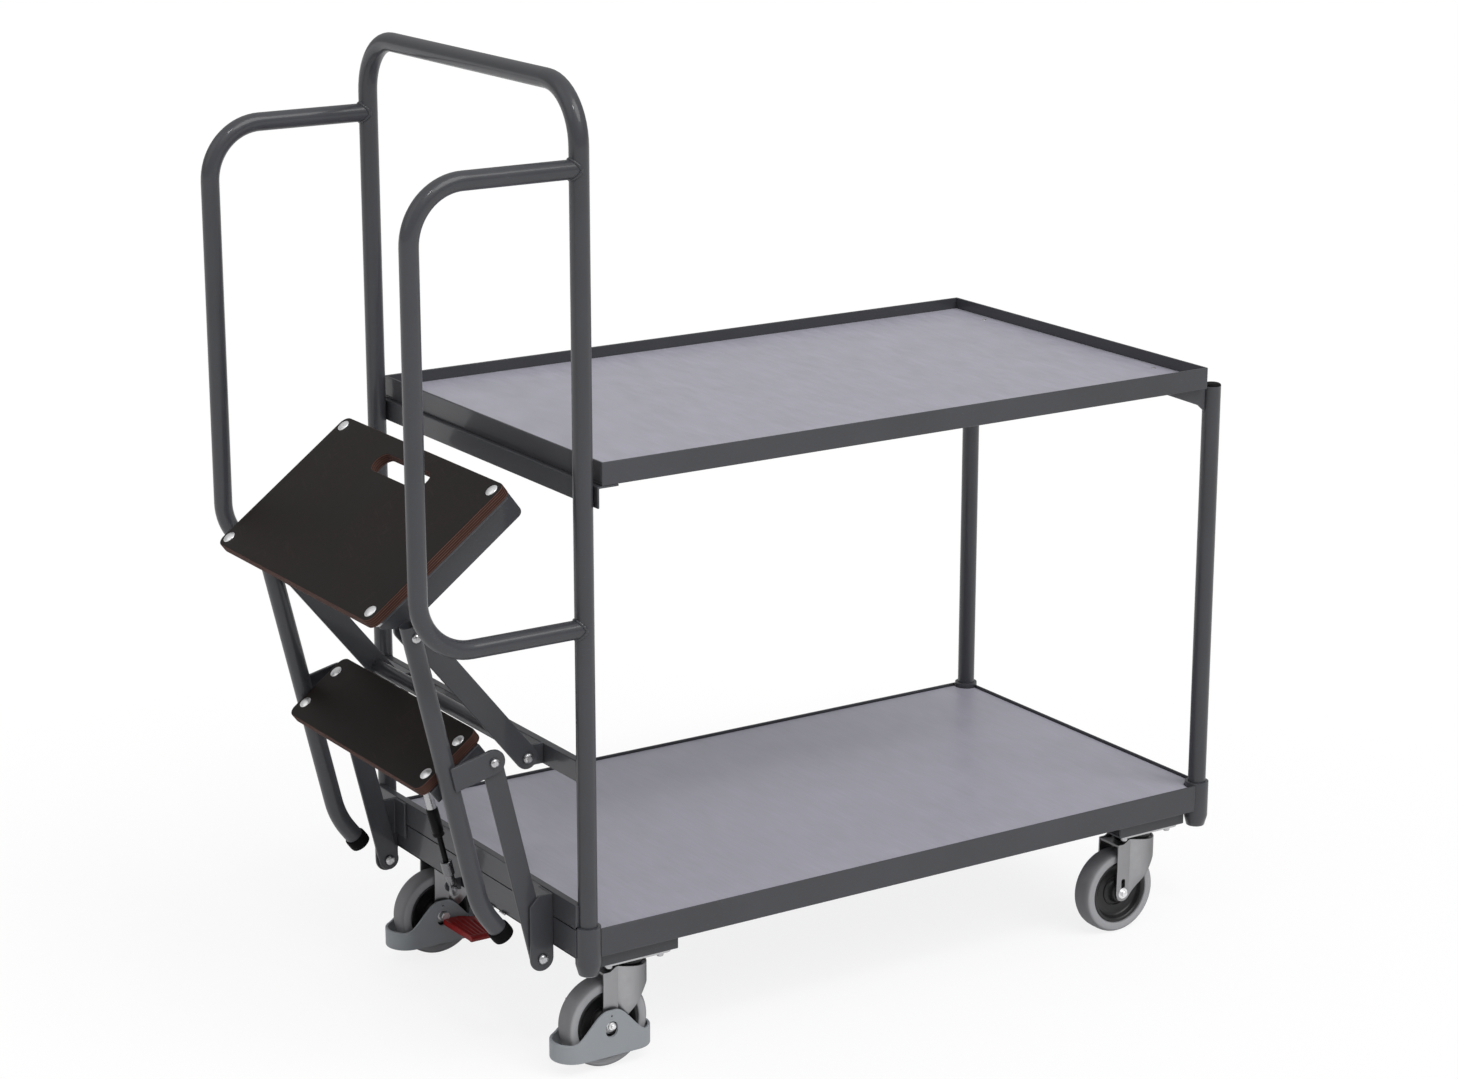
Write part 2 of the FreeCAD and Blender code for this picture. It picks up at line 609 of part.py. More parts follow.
def make_load_posts():
    posts = []
    caps = []
    for side, name in SIDES:
        y = f"{side} * post_half_span"

        def run(tube):
            return rod(UPRIGHT, "post_spacing", y, "post_foot", tube, "shelf_bottom - post_foot")

        posts.append(hollow(run))
        plug_z = "shelf_bottom - cap_height"
        plug = rod(UPRIGHT, "post_spacing", y, plug_z, "tube_radius - tube_wall", "cap_height")
        lid = rod(UPRIGHT, "post_spacing", y, "shelf_bottom", "tube_radius", "cap_height")
        caps.append(fuse(plug, lid))
    node("load_posts", group(posts))
    node("post_caps", group(caps))


def make_shelf():
    z = ("shelf_bottom", "(shelf_bottom + shelf_rim_height)")
    low = ("shelf_bottom", "(shelf_bottom + shelf_skin)")
    inner = "(shelf_half_width - shelf_skin)"
    ledge = "(shelf_half_width - shelf_flange)"
    x = ("shelf_start", SHELF_END)
    for side, name in SIDES:
        wall = block(x, span(side, inner, "shelf_half_width"), z)
        flange = block(x, span(side, ledge, inner), low)
        node(f"shelf_rim_{name}", fuse(wall, flange))
    ends = {
        "handle": ("shelf_start", "(shelf_start + shelf_skin)", "(shelf_start + shelf_flange)"),
        "load": (SHELF_END, f"({SHELF_END} - shelf_skin)", f"({SHELF_END} - shelf_flange)"),
    }
    for name, (face, skin, tip) in ends.items():
        wall_x, flange_x = ((face, skin), (skin, tip)) if name == "handle" else ((skin, face), (tip, skin))
        wall = block(wall_x, (f"-{inner}", inner), z)
        flange = block(flange_x, (f"-{ledge}", ledge), low)
        joint = block(wall_x, (f"-{ledge}", ledge), low)
        node(f"shelf_rim_{name}", cut(fuse(wall, flange, joint), *rim_corners(wall_x, ledge, inner, low)))
    board_z = (low[1], f"({low[1]} + shelf_board_thickness)")
    board_x = ("(shelf_start + shelf_skin)", f"({SHELF_END} - shelf_skin)")
    node("shelf_board", group([block(board_x, (f"-{inner}", inner), board_z)]))
    rail_y = ("-shelf_half_width", "shelf_half_width")
    wall_z = ("(shelf_bottom - end_rail_drop)", "shelf_bottom")
    wall = block(("tube_radius", "(tube_radius + shelf_skin)"), rail_y, wall_z)
    flange_z = ("(shelf_bottom - shelf_skin)", "shelf_bottom")
    flange = block(("tube_radius", "(tube_radius + end_rail_flange)"), rail_y, flange_z)
    node("shelf_end_rail", fuse(wall, flange))


def rim_corners(x, ledge, inner, z):
    """The corners that an end rim leaves to the side rims' flanges."""
    return [block(x, span(side, ledge, inner), z) for side, name in SIDES]


def make_gussets():
    post = "(post_spacing - tube_radius)"
    start = f"({post} - gusset_length)"
    heel = f"({post} - gusset_length * gusset_heel_share)"
    corners = [
        (start, "shelf_bottom"),
        (heel, "(shelf_bottom - gusset_drop * gusset_toe_share)"),
        (post, "(shelf_bottom - gusset_drop)"),
        (post, "shelf_bottom"),
    ]
    plates = []
    for side, name in SIDES:
        middle = f"{side} * post_half_span"
        y = (f"({middle} - gusset_thickness / 2)", f"({middle} + gusset_thickness / 2)")
        plates.append(panel(corners, y))
    node("shelf_gussets", group(plates))


def make_arm_brackets():
    plates = []
    half = "(mid_bar_height / 2)"
    for side, name in SIDES:
        y = span(side, f"{UPPER_ARM_IN} - arm_gap - bracket_plate", f"{UPPER_ARM_IN} - arm_gap")
        z = (f"(arm_pivot_height - {half})", f"(arm_pivot_height + {half})")
        strap = block(("-arm_pivot_out", "(-mid_bar_depth / 2)"), y, z)
        tip = rod(ACROSS, "-arm_pivot_out", y[0], "arm_pivot_height", half, "bracket_plate")
        hole = rod(ACROSS, "-arm_pivot_out", y[0], "arm_pivot_height", "pivot_radius", "bracket_plate")
        plates.append(cut(fuse(strap, tip), hole))
    node("upper_arm_brackets", group(plates))


def make_foot_brackets():
    plates = []
    face = "(-handle_overhang)"
    for side, name in SIDES:
        y = span(side, LINK_IN, f"{LINK_IN} + bracket_plate")
        radius = "((foot_bracket_reach - handle_overhang) / 2)"
        corners = [
            ("(-foot_bracket_reach)", "foot_pivot_height"),
            (face, "foot_pivot_height"),
            (face, "foot_bracket_top"),
            ("(foot_bracket_cut - foot_bracket_reach)", "foot_bracket_top"),
            ("(-foot_bracket_reach)", "(foot_bracket_top - foot_bracket_cut)"),
        ]
        plate = panel(corners, y)
        middle = f"(-handle_overhang - {radius})"
        tip = rod(ACROSS, middle, y[0], "foot_pivot_height", radius, "bracket_plate")
        tab = block(
            (f"({face} - bracket_plate)", face),
            span(side, f"{LINK_IN} - foot_bracket_tab", LINK_IN),
            (BOARD_SEAT, "foot_bracket_top"),
        )
        hole = rod(ACROSS, "-foot_pivot_out", y[0], "foot_pivot_height", "pivot_radius", "bracket_plate")
        plates.append(cut(fuse(plate, tip, tab), hole))
    node("lower_arm_brackets", group(plates))


def make_frame_pivots():
    bolts = []
    sizes = ("pivot_radius", "pivot_head_radius", "pivot_head_height")
    for side, name in SIDES:
        y = span(side, f"{UPPER_ARM_IN} - arm_gap - bracket_plate", f"{UPPER_ARM_OUT} + side_gap")
        bolts.append(bolt_across("-arm_pivot_out", "arm_pivot_height", y, *sizes))
        y = span(side, f"{LOWER_ARM_IN} - side_gap", f"{LINK_IN} + bracket_plate")
        bolts.append(bolt_across("-foot_pivot_out", "foot_pivot_height", y, *sizes))
    node("arm_pivot_bolts", group(bolts))


def make_caster_channels(places):
    channels = []
    bolts = []
    z = (CHANNEL_FLOOR, "base_bottom")
    for x, y in places:
        length = (f"({x} - channel_length / 2)", f"({x} + channel_length / 2)")
        width = (f"({y} - channel_width / 2)", f"({y} + channel_width / 2)")
        hollow_x = (f"({length[0]} - cut_overrun)", f"({length[1]} + cut_overrun)")
        hollow_y = (f"({width[0]} + channel_skin)", f"({width[1]} - channel_skin)")
        hollow_z = (f"({CHANNEL_FLOOR} + channel_skin)", "(base_bottom + cut_overrun)")
        holes = bolt_rods(x, y, CHANNEL_FLOOR, "channel_skin")
        channels.append(cut(block(length, width, z), block(hollow_x, hollow_y, hollow_z), *holes))
        bolts += caster_bolts(x, y)
    node("caster_channels", group(channels))
    node("caster_bolts", group(bolts))


def bolt_places(x, y):
    return [
        (f"({x} + {along} * bolt_pitch_long / 2)", f"({y} + {across} * bolt_pitch_wide / 2)")
        for along, name in SIDES
        for across, name in SIDES
    ]


def bolt_rods(x, y, z, length):
    return [rod(UPRIGHT, *place, z, "bolt_radius", length) for place in bolt_places(x, y)]


def caster_bolts(x, y):
    bolts = []
    grip = "(plate_thickness + channel_skin)"
    for place in bolt_places(x, y):
        shank = rod(UPRIGHT, *place, PLATE_FLOOR, "bolt_radius", grip)
        head = hexagon(
            UPRIGHT, *place, f"{PLATE_FLOOR} - bolt_head_height", "bolt_head_radius", "bolt_head_height"
        )
        nut = hexagon(UPRIGHT, *place, f"{PLATE_FLOOR} + {grip}", "bolt_head_radius", "bolt_head_height")
        bolts.append(fuse(shank, head, nut))
    return bolts


def make_caster_plates(places):
    plates = []
    for x, y in places:
        plate = slab(
            (f"({x} - plate_length / 2)", f"({x} + plate_length / 2)"),
            (f"({y} - plate_width / 2)", f"({y} + plate_width / 2)"),
            (PLATE_FLOOR, CHANNEL_FLOOR),
            "plate_corner",
        )
        race = rod(UPRIGHT, x, y, f"{PLATE_FLOOR} - race_height", "race_radius", "race_height")
        head_z = f"({YOKE_TOP} - fork_skin - side_gap - kingpin_head_height)"
        pin = rod(UPRIGHT, x, y, head_z, "kingpin_radius", f"{PLATE_FLOOR} - {head_z}")
        head = rod(UPRIGHT, x, y, head_z, "kingpin_head_radius", "kingpin_head_height")
        drilled = cut(plate, *bolt_rods(x, y, PLATE_FLOOR, "plate_thickness"))
        plates.append(fuse(drilled, race, pin, head))
    node("caster_plates", group(plates))


def make_fork(name, x, y):
    corners = [
        ("(-caster_trail - fork_boss)", YOKE_TOP),
        ("fork_front", YOKE_TOP),
        ("fork_front", f"({YOKE_TOP} - fork_shoulder)"),
        ("(fork_boss - caster_trail)", "wheel_radius"),
        ("(-caster_trail - fork_boss)", "wheel_radius"),
    ]
    pieces = []
    outer = "(fork_half_gap + fork_skin)"
    for side, label in SIDES:
        bounds = span(side, "fork_half_gap", outer)
        pieces.append(panel(corners, bounds))
        pieces.append(rod(ACROSS, "-caster_trail", bounds[0], "wheel_radius", "fork_boss", "fork_skin"))
    yoke_x = ("(-caster_trail - fork_boss)", "fork_front")
    yoke = block(yoke_x, (f"-{outer}", outer), (f"({YOKE_TOP} - fork_skin)", YOKE_TOP))
    crown = rod(UPRIGHT, "0", "0", YOKE_TOP, "crown_radius", "crown_height")
    bore_z = f"{YOKE_TOP} - fork_skin"
    bore = rod(UPRIGHT, "0", "0", bore_z, "kingpin_radius + running_gap", "crown_height + fork_skin")
    axle_hole = rod(ACROSS, "-caster_trail", f"-{outer}", "wheel_radius", "axle_radius", f"2 * {outer}")
    fork = cut(fuse(*pieces, yoke, crown, make_cup()), bore, axle_hole)
    sizes = ("axle_radius", "axle_head_radius", "axle_head_height")
    axle = bolt_across("-caster_trail", "wheel_radius", (f"-{outer}", outer), *sizes)
    node(f"fork_{name}", group([fork, axle]), x, y)


def make_cup():
    """The fork's round front under its crown, with a sloping lower edge."""
    edge = "(crown_radius + cut_overrun)"
    low = f"({YOKE_TOP} - cup_back_drop - cut_overrun)"
    depth = f"{YOKE_TOP} - {low}"
    slope = [
        (f"(-{edge})", low),
        (edge, low),
        (edge, f"({YOKE_TOP} - cup_front_drop)"),
        ("(-cup_back)", f"({YOKE_TOP} - cup_back_drop)"),
        ("(-cup_back)", YOKE_TOP),
        (f"(-{edge})", YOKE_TOP),
    ]
    return cut(
        rod(UPRIGHT, "0", "0", low, "crown_radius", depth),
        rod(UPRIGHT, "0", "0", low, "crown_radius - fork_skin", depth),
        panel(slope, (f"(-{edge})", edge)),
    )


def make_wheel(name, x, y):
    half = "(tyre_width / 2)"
    tyre = turned(
        [
            (f"(-{half})", "hub_radius"),
            (half, "hub_radius"),
            (half, "wheel_radius"),
            (f"(-{half})", "wheel_radius"),
        ]
    )
    reach = value("(hub_radius + wheel_radius) / 2")
    round_edges(tyre, lambda edge: edge.BoundBox.ZMax > reach and edge.Closed, "tyre_shoulder")
    node(f"tyre_{name}", tyre, f"{x} - caster_trail", y, "wheel_radius")
    rim = "(hub_rim_width / 2)"
    web = "(hub_web / 2)"
    boss = "(fork_half_gap - side_gap)"
    inner = "(hub_radius - hub_rim)"
    bore = "(axle_radius + running_gap)"
    section = [
        (boss, bore),
        (boss, "hub_boss"),
        (web, "hub_boss"),
        (web, inner),
        (rim, inner),
        (rim, "hub_radius"),
    ]
    mirrored = [(f"(-{across})", radius) for across, radius in reversed(section)]
    node(f"hub_{name}", turned(section + mirrored), f"{x} - caster_trail", y, "wheel_radius")


def obround(half, back, front, z):
    """An upright slab with round ends about the axle's line."""
    middle = (f"({half} - {back})", f"({front} - {half})")
    length = f"{z[1]} - ({z[0]})"
    return fuse(
        block(middle, (f"-{half}", half), z),
        rod(UPRIGHT, middle[0], "0", z[0], half, length),
        rod(UPRIGHT, middle[1], "0", z[0], half, length),
    )


def make_guard(name, x, y, side):
    z = ("guard_bottom", "guard_top")
    deep = ("(guard_bottom - cut_overrun)", "(guard_top + cut_overrun)")
    shell = obround("guard_half_width", "guard_back", "guard_front", z)
    hole = obround(
        "(guard_half_width - guard_wall)", "(guard_back - guard_wall)", "(guard_front - guard_wall)", deep
    )
    pieces = [cut(shell, hole)]
    head = "(wheel_radius + hump_height - hump_radius)"
    corners = [
        ("(-hump_foot)", "guard_bottom"),
        ("hump_foot", "guard_bottom"),
        ("hump_foot", "guard_top"),
        ("hump_radius", head),
        ("(-hump_radius)", head),
        ("(-hump_foot)", "guard_top"),
    ]
    slots = []
    for flank, label in SIDES:
        bounds = span(flank, "fork_half_gap + fork_skin", "guard_half_width")
        depth = "guard_half_width - fork_half_gap - fork_skin"
        pieces.append(panel(corners, bounds))
        pieces.append(rod(ACROSS, "0", bounds[0], head, "hump_radius", depth))
        slots.append(rod(ACROSS, "0", bounds[0], "wheel_radius", "slot_radius", depth))
        slots.append(rod(ACROSS, "0", bounds[0], "wheel_radius - slot_length", "slot_radius", depth))
        slots.append(
            block(("-slot_radius", "slot_radius"), bounds, ("(wheel_radius - slot_length)", "wheel_radius"))
        )
    pin_y = f"({-side} * (guard_half_width + pedal_pivot_out))"
    half = "(pedal_width / 2 + side_gap)"
    ears = []
    for flank, label in SIDES:
        ear_x = span(flank, half, f"{half} + ear_thickness")
        ear_x = tuple(f"(pedal_offset + {bound_x})" for bound_x in ear_x)
        ear_y = span(-side, "guard_half_width", "guard_half_width + pedal_pivot_out")
        ear_z = ("(pedal_pivot_height - pedal_barrel)", "(pedal_pivot_height + pedal_barrel)")
        ears.append(block(ear_x, ear_y, ear_z))
        ears.append(rod(ALONG, ear_x[0], pin_y, "pedal_pivot_height", "pedal_barrel", "ear_thickness"))
    pin = rod(ALONG, f"pedal_offset - {half}", pin_y, "pedal_pivot_height", "pedal_pin", f"2 * {half}")
    backing = block(
        (f"(pedal_offset - {half})", f"(pedal_offset + {half} + ear_thickness)"),
        span(-side, "guard_half_width - guard_wall", "guard_half_width"),
        ("guard_bottom", "(pedal_pivot_height + pedal_barrel)"),
    )
    guard = fuse(cut(fuse(*pieces, backing), *slots), *ears, pin)
    node(f"guard_{name}", guard, f"{x} - caster_trail", y)


def make_pedal(name, x, y, side):
    half = "(pedal_width / 2)"
    top = "(pedal_thickness / 2)"
    blade = block((f"-{half}", half), ("-pedal_length", "0"), (f"(-{top})", top))
    barrel = rod(ALONG, f"-{half}", "0", "0", "pedal_barrel", "pedal_width")
    bore = rod(ALONG, f"-{half}", "0", "0", "pedal_pin + running_gap", "pedal_width")
    ribs = []
    rib_shares = (0.3, 0.42, 0.54, 0.66, 0.78, 0.9)
    for share in rib_shares:
        edge = f"(-pedal_length * {share})"
        rib_y = (f"({edge} - pedal_rib)", edge)
        ribs.append(block((f"-{half}", half), rib_y, (top, f"({top} + pedal_rib)")))
    pedal = cut(fuse(blade, barrel, *ribs), bore)
    put(pedal, turn="pedal_slope", about=ALONG)
    holder = group([pedal])
    pin_y = f"{y} + {-side} * (guard_half_width + pedal_pivot_out)"
    if side < 0:
        put(holder, turn=f"2 * {QUARTER}", about=UPRIGHT)
    holder = group([holder])
    node(f"brake_pedal_{name}", holder, f"{x} - caster_trail + pedal_offset", pin_y, "pedal_pivot_height")


def make_casters():
    corners = {
        f"{end}_{name}": (x, f"{side} * caster_half_span", side)
        for end, x in (("handle", "caster_inset"), ("load", "(post_spacing - caster_inset)"))
        for side, name in SIDES
    }
    places = [(x, f"({y})") for x, y, side in corners.values()]
    make_caster_channels(places)
    make_caster_plates(places)
    for name, (x, y, side) in corners.items():
        make_fork(name, x, y)
        make_wheel(name, x, y)
        if name.startswith("handle"):
            make_guard(name, x, y, side)
            make_pedal(name, x, y, side)


def make_treads():
    x = ("(-top_tread_back)", "(top_tread_depth - top_tread_back)")
    y = ("(-top_tread_half_width)", "top_tread_half_width")
    z = ("top_tread_rise", "(top_tread_rise + tread_thickness)")
    board = slab(x, y, z, "tread_corner")
    half = "(hand_hole_width / 2)"
    end = f"(hand_hole_length / 2 - {half})"
    grip = [
        block((f"(hand_hole_place - {half})", f"(hand_hole_place + {half})"), (f"-{end}", end), z),
        rod(UPRIGHT, "hand_hole_place", end, z[0], half, "tread_thickness"),
        rod(UPRIGHT, "hand_hole_place", f"-{end}", z[0], half, "tread_thickness"),
    ]
    places = tread_places(x, "top_tread_half_width", "tread_bolt_inset")
    bolts = tread_bolts(places, z, "support_skin")
    ladder_node("top_tread", cut(board, *grip, *tread_holes(places, z)))
    x = ("(-lower_tread_setback - lower_tread_depth)", "(-lower_tread_setback)")
    y = ("(-lower_tread_half_width)", "lower_tread_half_width")
    z = ("(-lower_tread_drop)", "(tread_thickness - lower_tread_drop)")
    board = slab(x, y, z, "tread_corner")
    places = tread_places(x, "lower_tread_half_width", "stair_bolt_inset")
    bolts += tread_bolts(places, z, "support_skin")
    ladder_node("lower_tread", cut(board, *tread_holes(places, z)))
    ladder_node("tread_bolts", group(bolts))


def tread_places(x, half_width, edge_inset):
    return [
        (place, f"({side} * ({half_width} - tread_bolt_inset))")
        for place in (f"({x[0]} + {edge_inset})", f"({x[1]} - {edge_inset})")
        for side, name in SIDES
    ]


def tread_holes(places, z):
    return [rod(UPRIGHT, *place, z[0], "bolt_radius", "tread_thickness") for place in places]


def tread_bolts(places, z, below):
    bolts = []
    for place in places:
        shank = rod(UPRIGHT, *place, f"{z[0]} - {below}", "bolt_radius", f"tread_thickness + {below}")
        cap = cone(*place, z[1], "tread_bolt_cap", "bolt_radius", "tread_bolt_cap_height")
        nut = hexagon(
            UPRIGHT, *place, f"{z[0]} - {below} - bolt_head_height", "bolt_head_radius", "bolt_head_height"
        )
        bolts.append(fuse(shank, cap, nut))
    return bolts


def make_supports():
    top = "(top_tread_rise - support_skin)"
    corners = [
        ("(support_cut - support_back)", "support_low"),
        ("(support_front - support_end_cut)", "support_low"),
        ("support_front", "(support_low + support_end_height)"),
        ("support_front", "top_tread_rise"),
        ("(-support_back)", "top_tread_rise"),
        ("(-support_back)", "(support_low + support_cut)"),
    ]
    flange_x = ("(-support_back)", "support_front")
    holes_x = ("(-top_tread_back)", "(top_tread_depth - top_tread_back)")
    plates = []
    for side, name in SIDES:
        web = panel(corners, span(side, WEB_IN, WEB_OUT))
        flange_y = span(side, WEB_OUT, f"{WEB_IN} + support_flange")
        flange = block(flange_x, flange_y, (top, "top_tread_rise"))
        holes = [
            rod(UPRIGHT, *place, top, "bolt_radius", "support_skin")
            for place in tread_places(holes_x, "top_tread_half_width", "tread_bolt_inset")
        ]
        plates.append(cut(fuse(web, flange), *holes))
    ladder_node("top_tread_supports", group(plates))
    z = ("(-lower_tread_drop - stair_support_depth)", "(-lower_tread_drop)")
    tread_x = ("(-lower_tread_setback - lower_tread_depth)", "(-lower_tread_setback)")
    x = (f"({tread_x[0]} + stair_support_inset)", f"({tread_x[1]} - stair_support_inset)")
    plates = []
    for side, name in SIDES:
        web = block(x, span(side, WEB_IN, WEB_OUT), z)
        flange_y = span(side, f"{WEB_OUT} - stair_support_flange", WEB_IN)
        flange = block(x, flange_y, (f"({z[1]} - support_skin)", z[1]))
        holes = [
            rod(UPRIGHT, *place, f"{z[1]} - support_skin", "bolt_radius", "support_skin")
            for place in tread_places(tread_x, "lower_tread_half_width", "stair_bolt_inset")
        ]
        plates.append(cut(fuse(web, flange), *holes))
    ladder_node("lower_tread_supports", group(plates))


def make_legs():
    shoes = []
    tangent = "(leg_bend * tan(leg_lean / 2))"
    straight = f"(leg_length - {tangent})"
    foot_x = "(-leg_length * sin(leg_lean))"
    bend_z = f"(-leg_length * cos(leg_lean) - {tangent})"
    foot_z = "(-leg_length * cos(leg_lean) - leg_foot)"
    for side, name in SIDES:
        y = f"{side} * leg_half_span"

        def run(tube):
            upper = rod(UPRIGHT, "0", "0", "0", tube, f"{straight} + leg_top")
            put(upper, f"-{straight} * sin(leg_lean)", y, f"-{straight} * cos(leg_lean)", "leg_lean")
            knee = bend(
                f"{foot_x} + leg_bend", y, bend_z, (-1, 0, 0), (0, 0, 1), "leg_bend", tube, "leg_lean"
            )
            lower = rod(UPRIGHT, foot_x, y, foot_z, tube, f"{bend_z} - {foot_z}")
            return fuse(upper, knee, lower)

        hole = rod(ACROSS, "0", f"{y} - tube_radius", "0", "pivot_radius", "2 * tube_radius")
        ladder_node(f"ladder_leg_{name}", cut(hollow(run), hole))
        sole = f"{foot_z} - shoe_bottom"
        body = rod(UPRIGHT, foot_x, y, sole, "tube_radius + shoe_wall", "shoe_height")
        bore = rod(UPRIGHT, foot_x, y, foot_z, "tube_radius", "shoe_height")
        shoes.append(cut(body, bore))
    ladder_node("leg_shoes", group(shoes))


def make_links():
    plates = []
    z = (f"({LINK_ALONG} - link_half_width)", f"({LINK_ALONG} + link_half_width)")
    for side, name in SIDES:
        y = span(side, LINK_IN, f"{LINK_IN} + link_plate")
        strap = block(("0", LINK_OFF), y, z)
        tip = rod(ACROSS, LINK_OFF, y[0], LINK_ALONG, "link_half_width", "link_plate")
        hole = rod(ACROSS, LINK_OFF, y[0], LINK_ALONG, "pivot_radius", "link_plate")
        plates.append(cut(fuse(strap, tip), hole))
    ladder_node("leg_links", group(plates), "leg_lean")
    bolts = []
    sizes = ("pivot_radius", "pivot_head_radius", "pivot_head_height")
    for side, name in SIDES:
        y = span(side, f"{LOWER_ARM_IN} - side_gap", f"{LINK_IN} + link_plate")
        bolts.append(bolt_across(LINK_U, LINK_W, y, *sizes))
        y = span(side, WEB_IN, LINK_IN)
        shank = rod(ACROSS, "0", y[0], "0", "pivot_radius", f"{y[1]} - ({y[0]})")
        head_y = y[1] if side > 0 else f"{y[0]} - pivot_head_height"
        head = hexagon(ACROSS, "0", head_y, "0", "pivot_head_radius", "pivot_head_height")
        bolts.append(fuse(shank, head))
    ladder_node("ladder_pivot_bolts", group(bolts))


def make_arms():
    upper = []
    lower = []
    for side, name in SIDES:
        y = span(side, UPPER_ARM_IN, UPPER_ARM_OUT)
        nut_y = y[1] if side < 0 else f"{y[0]} - pivot_head_height"
        nut = hexagon(ACROSS, "0", nut_y, "upper_arm_length", "pivot_head_radius", "pivot_head_height")
        upper.append(fuse(strap_arm(y, "upper_arm_length", "upper_arm_width", 1), nut))
        y = span(side, LOWER_ARM_IN, LOWER_ARM_OUT)
        lower.append(strap_arm(y, "lower_arm_length", "lower_arm_width", 2))
    node("upper_arms", group(upper), "-arm_pivot_out", "0", "arm_pivot_height", "-upper_arm_lean")
    node("lower_arms", group(lower), "-foot_pivot_out", "0", "foot_pivot_height", "-lower_arm_lean")

    def run(tube):
        return rod(ACROSS, "0", f"-{UPPER_ARM_IN}", "brace_height", tube, f"2 * {UPPER_ARM_IN}")

    brace = hollow(run, "brace_radius")
    node("arm_brace", brace, "-arm_pivot_out", "0", "arm_pivot_height", "-upper_arm_lean")


def strap_arm(y, length, width, bores):
    """A flat arm along Z with round ends, bored for its pins from the lower end up."""
    half = f"({width} / 2)"
    ends = [rod(ACROSS, "0", y[0], z, half, "arm_thickness") for z in ("0", length)]
    strap = block((f"-{half}", half), y, ("0", length))
    bore = "pivot_radius + running_gap"
    holes = [rod(ACROSS, "0", y[0], z, bore, "arm_thickness") for z in ("0", length)[:bores]]
    return cut(fuse(strap, *ends), *holes)


def make_spring():
    y = "spring_offset"
    gap = "(spring_offset + spring_eye_half + side_gap)"
    ear = (gap, f"({gap} + clevis_plate)")
    plate_z = ("(spring_foot_height - clevis_half)", "(spring_foot_height + clevis_half)")
    plate = block(("-spring_foot_out", "-handle_overhang"), ear, plate_z)
    tip = rod(ACROSS, "-spring_foot_out", ear[0], "spring_foot_height", "clevis_half", "clevis_plate")
    pin_y = "(spring_offset - spring_eye_half)"
    pin = rod(ACROSS, "-spring_foot_out", pin_y, "spring_foot_height", "spring_pin", f"{ear[1]} - {pin_y}")
    node("spring_bracket", fuse(plate, tip, pin))
    lean = f"-atan2({SPRING_DX}; {SPRING_DZ})"
    foot = ("-spring_foot_out", y, "spring_foot_height", lean)
    eye = rod(ACROSS, "0", "-spring_eye_half", "0", "spring_eye", "2 * spring_eye_half")
    fitting = rod(UPRIGHT, "0", "0", "0", "spring_eye", "spring_fitting")
    piston = rod(UPRIGHT, "0", "0", "0", "spring_rod_radius", "spring_rod_end")
    bore = rod(ACROSS, "0", "-spring_eye", "0", "spring_pin + running_gap", "2 * spring_eye")
    flats = spring_flats("spring_eye", ("0", "(clevis_half + side_gap)"))
    node("spring_rod", cut(fuse(eye, fitting, piston), bore, *flats), *foot)
    collar_top = "(spring_collar_low + spring_collar_length)"
    collar = rod(UPRIGHT, "0", "0", "spring_collar_low", "spring_collar_radius", "spring_collar_length")
    guide = rod(
        UPRIGHT, "0", "0", "spring_collar_low", "spring_rod_radius + running_gap", "spring_collar_length"
    )
    node("spring_collar", cut(collar, guide), *foot)
    barrel = rod(UPRIGHT, "0", "0", collar_top, "spring_tube_radius", f"{SPRING_SPAN} - {collar_top}")
    chamber = rod(
        UPRIGHT, "0", "0", collar_top, "spring_tube_bore", f"spring_rod_end + cut_overrun - {collar_top}"
    )
    head = rod(ACROSS, "0", "-spring_eye_half", SPRING_SPAN, "spring_head_radius", "2 * spring_eye_half")
    head_bore = rod(
        ACROSS, "0", "-spring_head_radius", SPRING_SPAN, "spring_head_bore", "2 * spring_head_radius"
    )
    flats_z = (f"({SPRING_SPAN} - spring_head_radius - clevis_half)", f"({SPRING_SPAN} + spring_head_radius)")
    flats = spring_flats("spring_head_radius", flats_z)
    node("spring_cylinder", cut(fuse(barrel, head), chamber, head_bore, *flats), *foot)
    make_spring_clevis()


def spring_flats(radius, z):
    """What takes a round end's sides down to the width of its eye."""
    x = (f"-{radius}", radius)
    return [block(x, span(side, "spring_eye_half", radius), z) for side, name in SIDES]


def make_spring_clevis():
    seat = "(-lower_tread_drop)"
    x = ("(-spring_head_setback - clevis_half)", "(clevis_half - spring_head_setback)")
    gap = "(spring_eye_half + side_gap)"
    pieces = []
    for side, name in SIDES:
        low, high = span(side, gap, f"{gap} + clevis_plate")
        y = (f"(spring_offset + {low})", f"(spring_offset + {high})")
        pieces.append(block(x, y, ("(-spring_head_drop)", seat)))
        tip = ("-spring_head_setback", y[0], "-spring_head_drop")
        pieces.append(rod(ACROSS, *tip, "clevis_half", "clevis_plate"))
    wide = f"({gap} + clevis_plate)"
    y = (f"(spring_offset - {wide})", f"(spring_offset + {wide})")
    pieces.append(block(x, y, (f"({seat} - clevis_plate)", seat)))
    pin = ("-spring_head_setback", y[0], "-spring_head_drop")
    pieces.append(rod(ACROSS, *pin, "spring_pin", f"2 * {wide}"))
    ladder_node("spring_clevis", fuse(*pieces))


